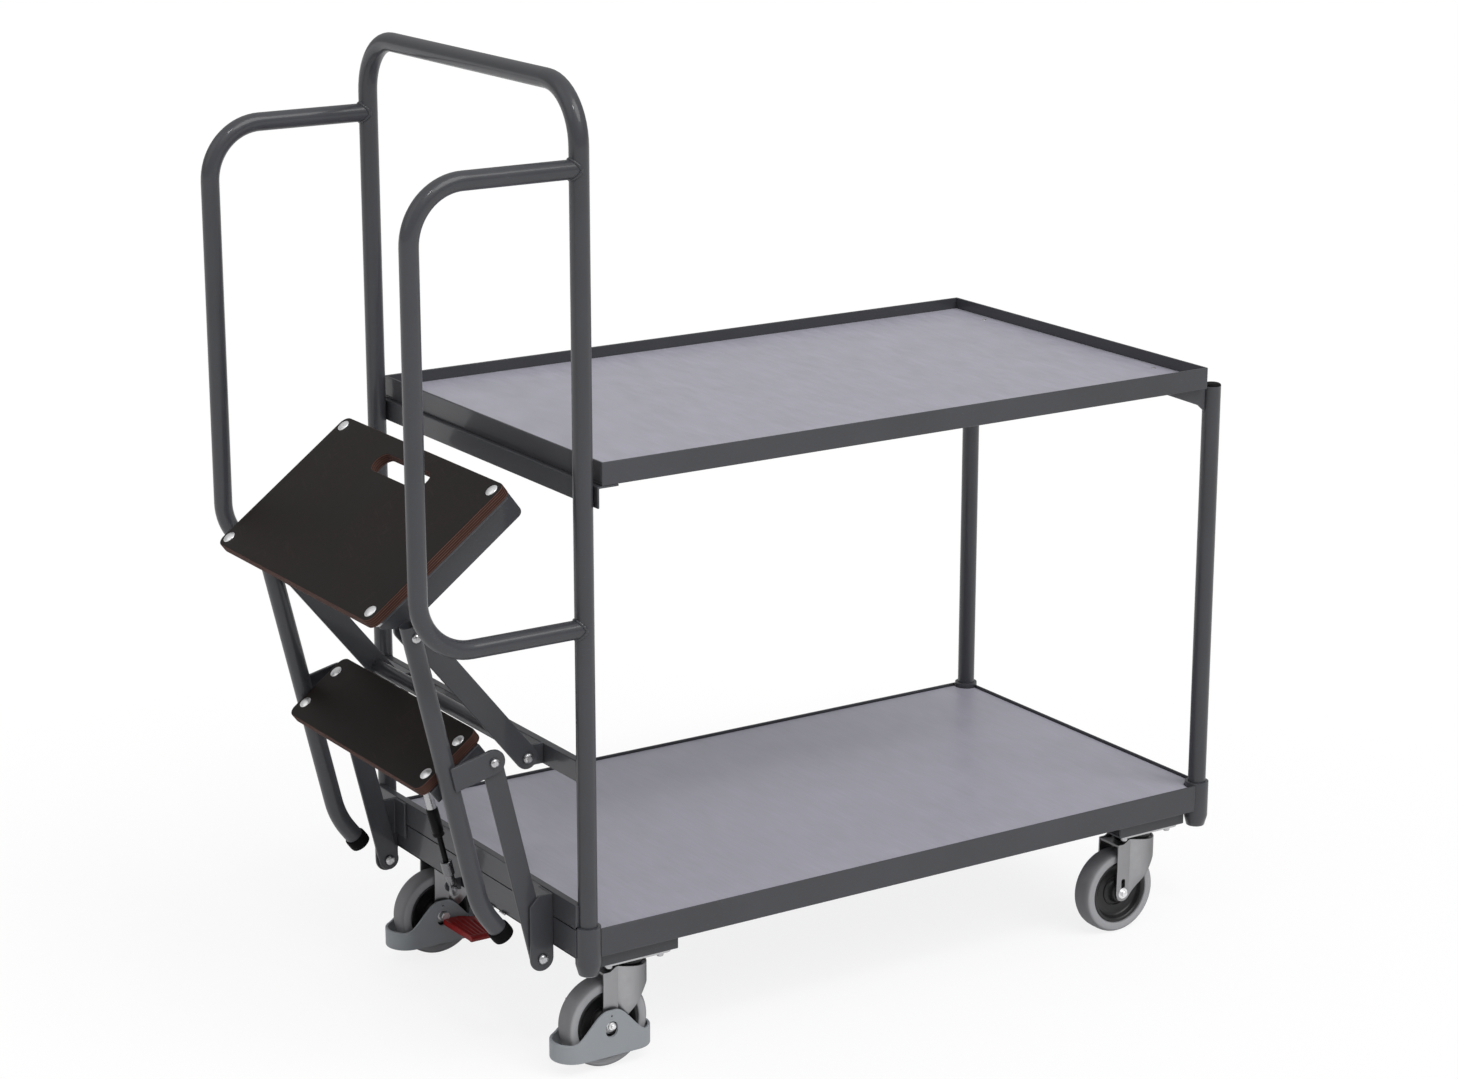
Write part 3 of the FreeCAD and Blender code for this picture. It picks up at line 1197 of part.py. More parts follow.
def save_parts():
    """Check every object, then write one file for each sub-part."""
    doc.recompute()
    failed = [item.Label for item in doc.Objects if "Invalid" in item.State or "Error" in item.State]
    if failed:
        raise RuntimeError(f"failed objects: {failed}")
    for item in NODES:
        if item.Shape.isNull() or not item.Shape.isValid() or not item.Shape.Solids:
            raise RuntimeError(f"bad shape: {item.Label}")
    os.makedirs("parts", exist_ok=True)
    for item in NODES:
        item.Shape.exportStep(os.path.join("parts", f"{item.Label}.step"))
    print(f"{len(NODES)} sub-parts")


make_handle()
make_handrails()
make_cross_bars()
make_sockets()
make_base()
make_load_posts()
make_shelf()
make_gussets()
make_arm_brackets()
make_foot_brackets()
make_frame_pivots()
make_casters()
make_treads()
make_supports()
make_legs()
make_links()
make_arms()
make_spring()
save_parts()
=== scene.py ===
import json
import math

import bmesh
import bpy
from mathutils import Matrix, Vector, noise

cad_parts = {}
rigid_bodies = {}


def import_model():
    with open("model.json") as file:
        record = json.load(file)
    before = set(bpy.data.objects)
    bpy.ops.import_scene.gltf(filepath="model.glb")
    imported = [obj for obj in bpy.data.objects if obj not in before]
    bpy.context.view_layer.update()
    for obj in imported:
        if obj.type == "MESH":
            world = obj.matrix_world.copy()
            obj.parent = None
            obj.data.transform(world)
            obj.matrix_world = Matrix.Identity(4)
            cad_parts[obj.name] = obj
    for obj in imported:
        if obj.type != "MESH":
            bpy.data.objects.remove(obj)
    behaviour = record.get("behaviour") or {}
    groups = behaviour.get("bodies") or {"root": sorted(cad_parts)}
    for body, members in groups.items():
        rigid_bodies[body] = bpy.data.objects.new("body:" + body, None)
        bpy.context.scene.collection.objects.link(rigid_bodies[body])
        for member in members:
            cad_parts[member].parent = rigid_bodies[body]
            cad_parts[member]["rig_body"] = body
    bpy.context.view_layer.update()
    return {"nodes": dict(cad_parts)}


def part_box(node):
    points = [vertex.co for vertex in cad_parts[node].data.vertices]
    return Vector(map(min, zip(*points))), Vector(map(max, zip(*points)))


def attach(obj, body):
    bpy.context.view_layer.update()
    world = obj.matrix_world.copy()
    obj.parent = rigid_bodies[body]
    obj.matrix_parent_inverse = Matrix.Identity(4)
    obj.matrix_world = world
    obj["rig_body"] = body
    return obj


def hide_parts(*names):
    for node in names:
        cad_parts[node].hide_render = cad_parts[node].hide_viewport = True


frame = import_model()

bl_info = {
    "name": "Order Picking Trolley",
    "version": (1, 0, 0),
    "blender": (4, 5, 0),
    "location": "3D View > Sidebar > Trolley",
    "description": "Finishes and formed pieces of a two-deck trolley with a fold-out ladder",
    "category": "Object",
}

# Places in the trolley's frame, in metres.
POST_X = sum(corner.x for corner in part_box("handle_frame")) / 2
POST_Y = 0.2825
LOAD_X = POST_X + 1.042
TUBE = 0.013
RAIL_TUBE = 0.0125
RAIL_LEVELS = (1.225, 0.632)
ARM_FOOT = Vector((POST_X - 0.034, 0, 0.436))
LADDER_PIN = Vector((POST_X - 0.209, 0, 0.6375))
LADDER_TILT = math.radians(36.7)
LADDER = Matrix.Translation(LADDER_PIN) @ Matrix.Rotation(-LADDER_TILT, 4, "Y")
LEG_Y = 0.206
SIDES = (-1, 1)
CASTERS = ("handle_near", "handle_far", "load_near", "load_far")
BRAKED = CASTERS[:2]
MAIN_BODY = "trolley"

# Points closer than this are one point, and edges that turn further, in degrees, stay sharp.
WELD = 1e-5
SHARP = 38


def colour(name, description, default):
    return bpy.props.FloatVectorProperty(
        name=name, description=description, default=default, size=3, min=0, max=1, subtype="COLOR"
    )


def length(name, description, default):
    return bpy.props.FloatProperty(
        name=name, description=description, default=default, min=0, subtype="DISTANCE", unit="LENGTH"
    )


def brightness(name, description, default):
    return bpy.props.FloatProperty(name=name, description=description, default=default, min=0)


class TrolleyFinishes(bpy.types.PropertyGroup):
    """Colours of the trolley's finishes."""

    paint: colour("Frame paint", "Satin coat on tubes, beams and plates", (0.041, 0.042, 0.048))
    laminate: colour("Board laminate", "Face of the two boards", (0.335, 0.330, 0.385))
    film: colour("Tread film", "Dark film on the treads' faces", (0.0102, 0.0076, 0.0066))
    ply_dark: colour("Dark ply", "Darker layers on the treads' edges", (0.030, 0.0125, 0.0095))
    ply_light: colour("Light ply", "Lighter layers on the treads' edges", (0.105, 0.052, 0.041))
    zinc: colour("Zinc", "Plated plates, pivot bolts and nuts", (0.50, 0.50, 0.51))
    bright: colour("Bright zinc", "Plated heads of the treads' bolts and the axles", (0.86, 0.86, 0.87))
    pressed: colour("Pressed zinc", "Plated sheet of the forks", (0.41, 0.41, 0.42))
    tyre: colour("Tyre", "Grey rubber of the wheels", (0.172, 0.172, 0.180))
    hub: colour("Hub", "Black plastic of the wheels", (0.010, 0.010, 0.011))
    guard: colour("Foot guard", "Grey plastic round the braked wheels", (0.245, 0.262, 0.278))
    pedal: colour("Brake pedal", "Red plastic of the pedals", (0.25, 0.0068, 0.0052))
    black: colour("Black parts", "Shoes, plugs and the gas spring's collar", (0.0030, 0.0030, 0.0034))
    steel: colour("Steel", "Gas spring's tube", (0.42, 0.42, 0.43))
    fitting: colour("Fitting", "Gas spring's lower fitting", (0.20, 0.20, 0.21))


class TrolleyForms(bpy.types.PropertyGroup):
    """Small sizes that the frame leaves to the dressed pieces."""

    sheet_edge: length("Sheet edge", "Rounding of folded sheet and flat bars", 0.0012)
    board_edge: length("Board edge", "Rounding of the laminated boards", 0.0008)
    tread_edge: length("Tread edge", "Rounding of the treads' rims", 0.0016)
    bead: length("Weld bead", "Radius of the weld beads", 0.0024)
    fork_sheet: length("Fork sheet", "Sheet of the caster forks", 0.0028)
    guard_wall: length("Guard wall", "Wall of the foot guards", 0.0040)


class TrolleyStage(bpy.types.PropertyGroup):
    """Camera and studio light."""

    lens: bpy.props.FloatProperty(
        name="Lens", description="Camera's focal length", default=84.45, unit="CAMERA"
    )
    floor: colour("Floor", "Pale floor", (0.92, 0.92, 0.92))
    horizon: brightness("Horizon", "Light from all round, low down", 0.30)
    zenith: brightness("Zenith", "Light from overhead", 0.75)
    key: brightness("Key", "Strength of the large soft light", 1.5)
    fill: brightness("Fill", "Strength of the soft light opposite", 0.35)
    glint: brightness("Glint", "Strength of the small bright light", 0.40)


def finishes():
    return bpy.context.scene.trolley_finishes


def forms():
    return bpy.context.scene.trolley_forms


# Shader nodes

def place(tree, kind, values=None, **settings):
    """A shader node with its settings, and its sockets set to values or linked to other sockets."""
    made = tree.nodes.new(kind)
    for name, setting in settings.items():
        setattr(made, name, setting)
    for key, given in (values or {}).items():
        if isinstance(given, bpy.types.NodeSocket):
            tree.links.new(given, made.inputs[key])
        else:
            made.inputs[key].default_value = given
    return made


def reckon(tree, operation, *values):
    """A math node's result."""
    return place(tree, "ShaderNodeMath", dict(enumerate(values)), operation=operation).outputs[0]


def spread(tree, value, low, high, to_low=0, to_high=1):
    """A value carried from one range to another, held at its ends."""
    values = {"Value": value, "From Min": low, "From Max": high, "To Min": to_low, "To Max": to_high}
    return place(tree, "ShaderNodeMapRange", values).outputs["Result"]


def between(tree, mask, low, high):
    """A value that goes from low to high as the mask goes from 0 to 1."""
    return spread(tree, mask, 0, 1, low, high)


def part_of(tree, vector, axis):
    return place(tree, "ShaderNodeSeparateXYZ", {0: vector}).outputs[axis]


def stretched(tree, vector, factors):
    values = {0: vector, 1: factors}
    return place(tree, "ShaderNodeVectorMath", values, operation="MULTIPLY").outputs[0]


def blend(tree, factor, first, second):
    """A colour between two colours."""
    colours = [given if isinstance(given, bpy.types.NodeSocket) else (*given, 1) for given in (first, second)]
    values = {0: factor, 6: colours[0], 7: colours[1]}
    return place(tree, "ShaderNodeMix", values, data_type="RGBA").outputs[2]


def shades(base, factor):
    return tuple(min(1, part * factor) for part in base)


def clouded(tree, mask, base, dark, light):
    """A colour that varies between a darker and a lighter shade of itself."""
    return blend(tree, mask, shades(base, dark), shades(base, light))


def touched(tree, tone, mask, share, shade):
    """A tone with a share of another shade where the mask is set."""
    return blend(tree, reckon(tree, "MULTIPLY", mask, share), tone, shade)


def new_group(name, inputs, outputs):
    group = bpy.data.node_groups.new(name, "ShaderNodeTree")
    for label, kind, default in inputs:
        socket = group.interface.new_socket(name=label, in_out="INPUT", socket_type=kind)
        socket.default_value = default
    for label, kind in outputs:
        group.interface.new_socket(name=label, in_out="OUTPUT", socket_type=kind)
    return group, group.nodes.new("NodeGroupInput").outputs, group.nodes.new("NodeGroupOutput").inputs


def grain_group():
    """Noise in the piece's own metres, stretched along its axes."""
    name = "Grain"
    if name in bpy.data.node_groups:
        return bpy.data.node_groups[name]
    group, given, result = new_group(
        name,
        [
            ("Scale", "NodeSocketFloat", 100.0),
            ("Stretch", "NodeSocketVector", (1, 1, 1)),
            ("Detail", "NodeSocketFloat", 3.0),
            ("Low", "NodeSocketFloat", 0.3),
            ("High", "NodeSocketFloat", 0.7),
        ],
        [("Grain", "NodeSocketFloat")],
    )
    where = place(group, "ShaderNodeTexCoord").outputs["Object"]
    drawn = stretched(group, where, given["Stretch"])
    values = {"Vector": drawn, "Scale": given["Scale"], "Detail": given["Detail"]}
    cloud = place(group, "ShaderNodeTexNoise", values).outputs["Fac"]
    group.links.new(spread(group, cloud, given["Low"], given["High"]), result["Grain"])
    return group


def edge_group():
    """Where a surface turns sharply, as worn edges do, broken up by noise."""
    name = "Worn edges"
    if name in bpy.data.node_groups:
        return bpy.data.node_groups[name]
    group, given, result = new_group(
        name, [("Reach", "NodeSocketFloat", 0.002)], [("Edge", "NodeSocketFloat")]
    )
    soft = place(group, "ShaderNodeBevel", {"Radius": given["Reach"]}, samples=4)
    true = place(group, "ShaderNodeNewGeometry").outputs["Normal"]
    turn = place(group, "ShaderNodeVectorMath", {0: soft.outputs[0], 1: true}, operation="DOT_PRODUCT")
    flat_turn, full_turn = 0.955, 0.72
    edge = spread(group, turn.outputs["Value"], flat_turn, full_turn)
    breaks = grain(group, scale=160, low=0.25, high=0.6)
    group.links.new(reckon(group, "MULTIPLY", edge, breaks), result["Edge"])
    return group


def scuff_group():
    """Short straight scratches in two directions, inside larger rubbed patches."""
    name = "Scuffs"
    if name in bpy.data.node_groups:
        return bpy.data.node_groups[name]
    group, given, result = new_group(
        name,
        [("Scale", "NodeSocketFloat", 420.0), ("Least", "NodeSocketFloat", 0.70)],
        [("Scuff", "NodeSocketFloat")],
    )
    where = place(group, "ShaderNodeTexCoord").outputs["Object"]
    drawn = []
    for turn in ((0.4, 0.7, 0.5), (-0.8, 0.2, 1.9)):
        values = {"Vector": where, "Rotation": turn}
        across = place(group, "ShaderNodeVectorRotate", values, rotation_type="EULER_XYZ").outputs[0]
        values = {"Vector": stretched(group, across, (1, 0.07, 1)), "Scale": given["Scale"], "Detail": 1}
        lines = place(group, "ShaderNodeTexNoise", values).outputs["Fac"]
        most = reckon(group, "ADD", given["Least"], 0.06)
        drawn.append(spread(group, lines, given["Least"], most))
    either = reckon(group, "MAXIMUM", *drawn)
    patch = grain(group, scale=6, low=0.42, high=0.66)
    group.links.new(reckon(group, "MULTIPLY", either, patch), result["Scuff"])
    return group


def grain(tree, scale, stretch=(1, 1, 1), detail=3.0, low=0.3, high=0.7):
    values = {"Scale": scale, "Stretch": stretch, "Detail": detail, "Low": low, "High": high}
    return place(tree, "ShaderNodeGroup", values, node_tree=grain_group()).outputs["Grain"]


def edges(tree, reach):
    return place(tree, "ShaderNodeGroup", {"Reach": reach}, node_tree=edge_group()).outputs["Edge"]


def scuffs(tree, scale, least):
    values = {"Scale": scale, "Least": least}
    return place(tree, "ShaderNodeGroup", values, node_tree=scuff_group()).outputs["Scuff"]


def bump(tree, height, distance, strength, under=None):
    values = {"Height": height, "Distance": distance, "Strength": strength}
    if under is not None:
        values["Normal"] = under
    return place(tree, "ShaderNodeBump", values).outputs["Normal"]


# Materials

def new_finish(name):
    material = bpy.data.materials.new(name)
    material.use_nodes = True
    tree = material.node_tree
    tree.nodes.clear()
    shader = tree.nodes.new("ShaderNodeBsdfPrincipled")
    place(tree, "ShaderNodeOutputMaterial", {"Surface": shader.outputs["BSDF"]})
    return material, tree, shader


def wire(tree, shader, **sockets):
    """Link or set the shader's sockets, named with underscores."""
    for name, value in sockets.items():
        socket = shader.inputs[name.replace("_", " ").title().replace("Ior", "IOR")]
        if isinstance(value, bpy.types.NodeSocket):
            tree.links.new(value, socket)
        else:
            socket.default_value = value


def paint_finish(name):
    """Powder coat: fine peel, slight clouding, edges rubbed a little lighter."""
    material, tree, shader = new_finish(name)
    base = finishes().paint
    cloud = grain(tree, scale=9, detail=4)
    tone = clouded(tree, cloud, base, 0.92, 1.10)
    tone = touched(tree, tone, edges(tree, reach=0.003), 0.35, shades(base, 2.6))
    tone = touched(tree, tone, scuffs(tree, scale=420, least=0.69), 0.16, shades(base, 3.0))
    peel = grain(tree, scale=620, detail=2, low=0.2, high=0.8)
    wave = grain(tree, scale=85, detail=1, low=0.2, high=0.8)
    waved = bump(tree, wave, distance=0.00012, strength=0.35)
    normal = bump(tree, peel, distance=0.00006, strength=0.5, under=waved)
    rough = between(tree, cloud, 0.40, 0.48)
    wire(tree, shader, base_color=tone, roughness=rough, normal=normal, specular_ior_level=0.28)
    wire(tree, shader, coat_weight=0.35, coat_roughness=0.10)
    return material


def laminate_finish(name):
    """Board laminate with fine drawn streaks across the deck."""
    material, tree, shader = new_finish(name)
    base = finishes().laminate
    streak = grain(tree, scale=330, stretch=(1, 0.075, 1), detail=4, low=0.32, high=0.68)
    mottle = grain(tree, scale=38, stretch=(1, 0.5, 1), detail=5)
    shares = [reckon(tree, "MULTIPLY", mask, share) for mask, share in ((streak, 0.6), (mottle, 0.4))]
    mixed = reckon(tree, "ADD", *shares)
    tone = clouded(tree, mixed, base, 0.90, 1.10)
    tone = touched(tree, tone, scuffs(tree, scale=360, least=0.69), 0.12, shades(base, 1.35))
    rough = between(tree, mixed, 0.30, 0.42)
    normal = bump(tree, streak, distance=0.00005, strength=0.35)
    wire(tree, shader, base_color=tone, roughness=rough, normal=normal)
    return material


def ply_finish(name):
    """Film-faced plywood: dark film on the faces, red-brown layers round the rim."""
    material, tree, shader = new_finish(name)
    values = finishes()
    radians_per_metre = 2090
    where = place(tree, "ShaderNodeTexCoord").outputs
    across = part_of(tree, where["Object"], "Z")
    facing = reckon(tree, "ABSOLUTE", part_of(tree, where["Normal"], "Z"))
    face = spread(tree, facing, 0.62, 0.80)
    fibre = grain(tree, scale=150, stretch=(0.25, 0.25, 3), detail=4)
    warp = reckon(tree, "ADD", reckon(tree, "MULTIPLY", fibre, 0.0005), across)
    wave = reckon(tree, "SINE", reckon(tree, "MULTIPLY", warp, radians_per_metre))
    layer = spread(tree, wave, -0.20, 0.75)
    rim = blend(tree, layer, values.ply_dark, values.ply_light)
    rim = touched(tree, rim, fibre, 0.45, values.ply_dark)
    cloud = grain(tree, scale=7, detail=6, low=0.35)
    film = clouded(tree, cloud, values.film, 0.85, 1.35)
    film = touched(tree, film, scuffs(tree, scale=330, least=0.65), 0.40, shades(values.film, 3.0))
    tone = blend(tree, face, rim, film)
    mesh_print = grain(tree, scale=900, detail=1)
    rough = between(tree, reckon(tree, "MULTIPLY", cloud, face), 0.42, 0.58)
    rough = reckon(tree, "ADD", rough, between(tree, face, 0.45, 0))
    ridged = bump(tree, layer, distance=0.00015, strength=0.3)
    normal = bump(tree, mesh_print, distance=0.00004, strength=0.4, under=ridged)
    wire(tree, shader, base_color=tone, roughness=rough, normal=normal, specular_ior_level=0.16)
    return material


def metal_finish(name, base, low, high, stretch=(1, 1, 1), scale=260, turned=1.0):
    """Plated or bright metal with drawn marks, faint dull patches, and painted shade that darkens its sides
    turned away from the camera.
    """
    material, tree, shader = new_finish(name)
    half_painted_shade = 1 - 0.3 * (1 - turned)
    drawn = grain(tree, scale, stretch, detail=4)
    cloud = grain(tree, scale=55, detail=4)
    tone = clouded(tree, cloud, base, 0.86, 1.06)
    # Painted shade: with turned below 1, the colour darkens in two steps where the surface turns away from
    # the camera, standing in for darker reflections.
    facing = place(tree, "ShaderNodeLayerWeight", {"Blend": 0.5}).outputs["Facing"]
    for start, end, factor in ((0.05, 0.21, half_painted_shade), (0.21, 0.75, turned)):
        tone = blend(tree, spread(tree, facing, start, end), tone, shades(base, factor))
    rough = spread(tree, reckon(tree, "ADD", drawn, cloud), 0.3, 1.7, low, high)
    normal = bump(tree, drawn, distance=0.00003, strength=0.3)
    wire(tree, shader, base_color=tone, roughness=rough, normal=normal, metallic=1.0)
    return material


def moulded_finish(name, base, low, high, dust=1.5, gloss=0.4, flank=1.0):
    """Moulded plastic or rubber with a fine skin, a little dust and flanks of another shade."""
    material, tree, shader = new_finish(name)
    cloud = grain(tree, scale=30, detail=5)
    pores = grain(tree, scale=700, detail=2)
    tone = clouded(tree, cloud, base, 0.90, 1.08)
    facing = part_of(tree, place(tree, "ShaderNodeTexCoord").outputs["Normal"], "Y")
    beside = spread(tree, reckon(tree, "ABSOLUTE", facing), 0.70, 0.97)
    tone = blend(tree, beside, tone, shades(base, flank))
    tone = touched(tree, tone, edges(tree, reach=0.002), 0.4, shades(base, dust))
    tone = touched(tree, tone, scuffs(tree, scale=600, least=0.68), 0.25, shades(base, dust))
    rough = between(tree, cloud, low, high)
    normal = bump(tree, pores, distance=0.00005, strength=0.35)
    wire(tree, shader, base_color=tone, roughness=rough, normal=normal, specular_ior_level=gloss)
    return material


def finish(kind):
    """The material of a finish, made once."""
    name = kind.capitalize()
    if name in bpy.data.materials:
        return bpy.data.materials[name]
    values = finishes()
    # The forks' turned of 0.36 paints shade on their sides turned away from the camera.
    along_z = {"stretch": (1, 1, 0.08), "scale": 500, "turned": 0.36}
    metals = {
        "zinc": dict(base=values.zinc, low=0.22, high=0.38),
        "brushed zinc": dict(base=values.pressed, low=0.30, high=0.44, **along_z),
        "bright zinc": dict(base=values.bright, low=0.34, high=0.46),
        "steel": dict(base=values.steel, low=0.20, high=0.34, stretch=(1, 1, 0.2), scale=400),
        "fitting": dict(base=values.fitting, low=0.24, high=0.36),
    }
    mouldings = {
        "tyre": dict(base=values.tyre, low=0.50, high=0.64, dust=1.2, gloss=0.30, flank=1.75),
        "hub": dict(base=values.hub, low=0.34, high=0.46, dust=2.0),
        "guard": dict(base=values.guard, low=0.42, high=0.54, dust=1.25),
        "pedal": dict(base=values.pedal, low=0.32, high=0.45, dust=1.6),
        "shoe": dict(base=values.black, low=0.55, high=0.70, dust=2.0, gloss=0.06),
        "cap": dict(base=values.black, low=0.50, high=0.65, dust=2.0, gloss=0.10),
        "spring black": dict(base=values.black, low=0.24, high=0.36, dust=2.0, gloss=0.10),
    }
    if kind in metals:
        return metal_finish(name, **metals[kind])
    if kind in mouldings:
        return moulded_finish(name, **mouldings[kind])
    return {"paint": paint_finish, "laminate": laminate_finish, "ply": ply_finish}[kind](name)


# Places

def moved(x, y, z):
    return Matrix.Translation((x, y, z))


def rotated(degrees, axis):
    return Matrix.Rotation(math.radians(degrees), 4, axis)


def sideways(middle, side=1):
    """A place whose Z axis points to the trolley's far side, or to its near side."""
    return Matrix.Translation(middle) @ rotated(-90 * side, "X")


def axle_of(caster):
    low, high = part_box(f"hub_{caster}")
    return (low + high) / 2


# Mesh building

def skin(shape, name, sharp=SHARP):
    """A mesh from a built shape, smooth but for its sharp edges."""
    shape.normal_update()
    limit = math.radians(sharp)
    for face in shape.faces:
        face.smooth = True
    for edge in shape.edges:
        edge.smooth = len(edge.link_faces) == 2 and edge.calc_face_angle(math.pi) < limit
    mesh = bpy.data.meshes.new(name)
    shape.to_mesh(mesh)
    shape.free()
    return mesh


def add_piece(name, shape, kind, nodes=(), sharp=SHARP, place_at=None):
    """An object for a built shape, riding on its body and standing for its nodes."""
    mesh = skin(shape, name, sharp)
    piece = bpy.data.objects.new(name, mesh)
    bpy.context.scene.collection.objects.link(piece)
    if place_at is not None:
        piece.matrix_world = place_at
    mesh.materials.clear()
    mesh.materials.append(finish(kind))
    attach(piece, frame["nodes"][nodes[0]]["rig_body"] if nodes else MAIN_BODY)
    if nodes:
        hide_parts(*nodes)
    return piece


def dress(node, kind):
    """Give a node whose shape is right its finish."""
    slots = frame["nodes"][node].data.materials
    slots.clear()
    slots.append(finish(kind))


def round_off(piece, width, segments=2, angle=35):
    rounding = piece.modifiers.new("Rounding", "BEVEL")
    rounding.limit_method = "ANGLE"
    rounding.angle_limit = math.radians(angle)
    rounding.width = width
    rounding.segments = segments
    rounding.use_clamp_overlap = False
    rounding.harden_normals = True


def keep_flat(piece):
    """Let large flat faces hold their shading beside rounded rims."""
    weighing = piece.modifiers.new("Flat faces", "WEIGHTED_NORMAL")
    weighing.mode = "FACE_AREA"
    weighing.weight = 100
    weighing.keep_sharp = True


def soften(node, kind, width):
    """A node's shape with its sharp edges rounded."""
    same_plane = math.radians(0.5)
    shape = bmesh.new()
    shape.from_mesh(frame["nodes"][node].data)
    bmesh.ops.remove_doubles(shape, verts=shape.verts, dist=WELD)
    bmesh.ops.dissolve_limit(shape, angle_limit=same_plane, verts=shape.verts, edges=shape.edges)
    piece = add_piece(f"{node}_rounded", shape, kind, [node], sharp=30)
    attributes = piece.data.attributes
    if "custom_normal" in attributes:
        attributes.remove(attributes["custom_normal"])
    round_off(piece, width)


def band(shape, low, high):
    """Faces between two rings of as many points."""
    count = len(low)
    for step in range(count):
        after = (step + 1) % count
        shape.faces.new([low[step], low[after], high[after], high[step]])


def caps(shape, rings):
    """Faces over the first ring and the last."""
    shape.faces.new(list(reversed(rings[0])))
    shape.faces.new(rings[-1])


def lathe(shape, profile, at=Matrix(), segments=40, closed=False):
    """Turn (radius, height) corners about Z, then set the form in place."""
    rings = []
    for radius, height in profile:
        count = segments if radius > WELD else 1
        turns = [2 * math.pi * step / segments for step in range(count)]
        corners = [Vector((radius * math.cos(t), radius * math.sin(t), height)) for t in turns]
        rings.append([shape.verts.new(at @ corner) for corner in corners])
    pairs = list(zip(rings, rings[1:]))
    if closed:
        pairs.append((rings[-1], rings[0]))
    for low, high in pairs:
        for step in range(segments):
            after = step + 1
            around = ((low, step), (low, after), (high, after), (high, step))
            corners = list(dict.fromkeys(ring[turn % len(ring)] for ring, turn in around))
            if len(corners) > 2:
                shape.faces.new(corners)
    return shape


def hexagon(shape, radius, low, high, at=Matrix(), chamfer=0.12):
    """A nut: six flats, its outer corners cut by a shallow cone."""
    turns = [math.pi / 3 * step for step in range(6)]
    cut = (high - low) * chamfer
    rings = []
    for size, level in ((radius, low), (radius, high - cut), (radius * 0.88, high)):
        corners = [Vector((size * math.cos(t), size * math.sin(t), level)) for t in turns]
        rings.append([shape.verts.new(at @ corner) for corner in corners])
    caps(shape, rings)
    for lower, upper in zip(rings, rings[1:]):
        band(shape, lower, upper)


def sweep(shape, points, radii, sides=10, closed=False):
    """A round bar along points, with a radius at each."""
    count = len(points)
    turns = [2 * math.pi * step / sides for step in range(sides)]
    rings = []
    side = None
    for index, point in enumerate(points):
        before = points[index - 1] if index or closed else point
        after = points[(index + 1) % count] if index < count - 1 or closed else point
        along = (after - before).normalized()
        guide = side if side is not None else along.orthogonal()
        side = (guide - along * guide.dot(along)).normalized()
        other = along.cross(side)
        corners = [point + (side * math.cos(t) + other * math.sin(t)) * radii[index] for t in turns]
        rings.append([shape.verts.new(corner) for corner in corners])
    for low, high in zip(rings, rings[1:]):
        band(shape, low, high)
    if closed:
        band(shape, rings[-1], rings[0])
    else:
        caps(shape, rings)


def block(shape, size, middle):
    """A plain block."""
    made = bmesh.ops.create_cube(shape, size=1)["verts"]
    bmesh.ops.scale(shape, vec=size, verts=made)
    bmesh.ops.translate(shape, vec=middle, verts=made)


def rounded(corners, steps=7):
    """Outline whose corners, given as (x, y, radius), are rounded."""
    points = []
    count = len(corners)
    for index, (x, y, radius) in enumerate(corners):
        here = Vector((x, y))
        back = (Vector(corners[index - 1][:2]) - here).normalized()
        ahead = (Vector(corners[(index + 1) % count][:2]) - here).normalized()
        if radius <= 0:
            points.append(here)
            continue
        half = back.angle(ahead) / 2
        middle = here + (back + ahead).normalized() * (radius / math.sin(half))
        start = here + back * (radius / math.tan(half)) - middle
        end = here + ahead * (radius / math.tan(half)) - middle
        turn = start.angle_signed(end)
        for step in range(steps + 1):
            angle = -turn * step / steps
            points.append(middle + Matrix.Rotation(angle, 2) @ start)
    return points


def oblong(half_x, half_y, radius, x=0, steps=7):
    """Outline of a rectangle with rounded corners."""
    corners = [(x - half_x, -half_y), (x + half_x, -half_y), (x + half_x, half_y), (x - half_x, half_y)]
    return rounded([(*corner, radius) for corner in corners], steps)


def plate(outlines, thickness, rounding):
    """A flat plate with holes and rounded rims, from outlines in XY."""
    curve = bpy.data.curves.new("Plate", "CURVE")
    curve.dimensions = "2D"
    curve.fill_mode = "BOTH"
    curve.extrude = thickness / 2 - rounding
    curve.bevel_depth = rounding
    curve.bevel_resolution = 2
    curve.offset = -rounding
    for outline in outlines:
        spline = curve.splines.new("POLY")
        spline.points.add(len(outline) - 1)
        for point, corner in zip(spline.points, outline):
            point.co = (corner[0], corner[1], 0, 1)
        spline.use_cyclic_u = True
    holder = bpy.data.objects.new("Plate", curve)
    bpy.context.scene.collection.objects.link(holder)
    found = holder.evaluated_get(bpy.context.evaluated_depsgraph_get())
    mesh = bpy.data.meshes.new_from_object(found)
    bpy.data.objects.remove(holder)
    bpy.data.curves.remove(curve)
    shape = bmesh.new()
    shape.from_mesh(mesh)
    bpy.data.meshes.remove(mesh)
    bmesh.ops.remove_doubles(shape, verts=shape.verts, dist=WELD)
    return shape


def settle(piece):
    """Make a piece's modifiers part of its mesh."""
    found = piece.evaluated_get(bpy.context.evaluated_depsgraph_get())
    mesh = bpy.data.meshes.new_from_object(found)
    piece.modifiers.clear()
    old = piece.data
    piece.data = mesh
    mesh.name = old.name
    bpy.data.meshes.remove(old)


def islands(mesh):
    """The boxes of a mesh's separate solids."""
    shape = bmesh.new()
    shape.from_mesh(mesh)
    bmesh.ops.remove_doubles(shape, verts=shape.verts, dist=WELD)
    reached = set()
    boxes = []
    for start in shape.verts:
        if start in reached:
            continue
        reached.add(start)
        solid = [start]
        for vert in solid:
            for edge in vert.link_edges:
                other = edge.other_vert(vert)
                if other not in reached:
                    reached.add(other)
                    solid.append(other)
        axes = list(zip(*(vert.co for vert in solid)))
        boxes.append([Vector([pick(axis) for axis in axes]) for pick in (min, max)])
    shape.free()
    return boxes


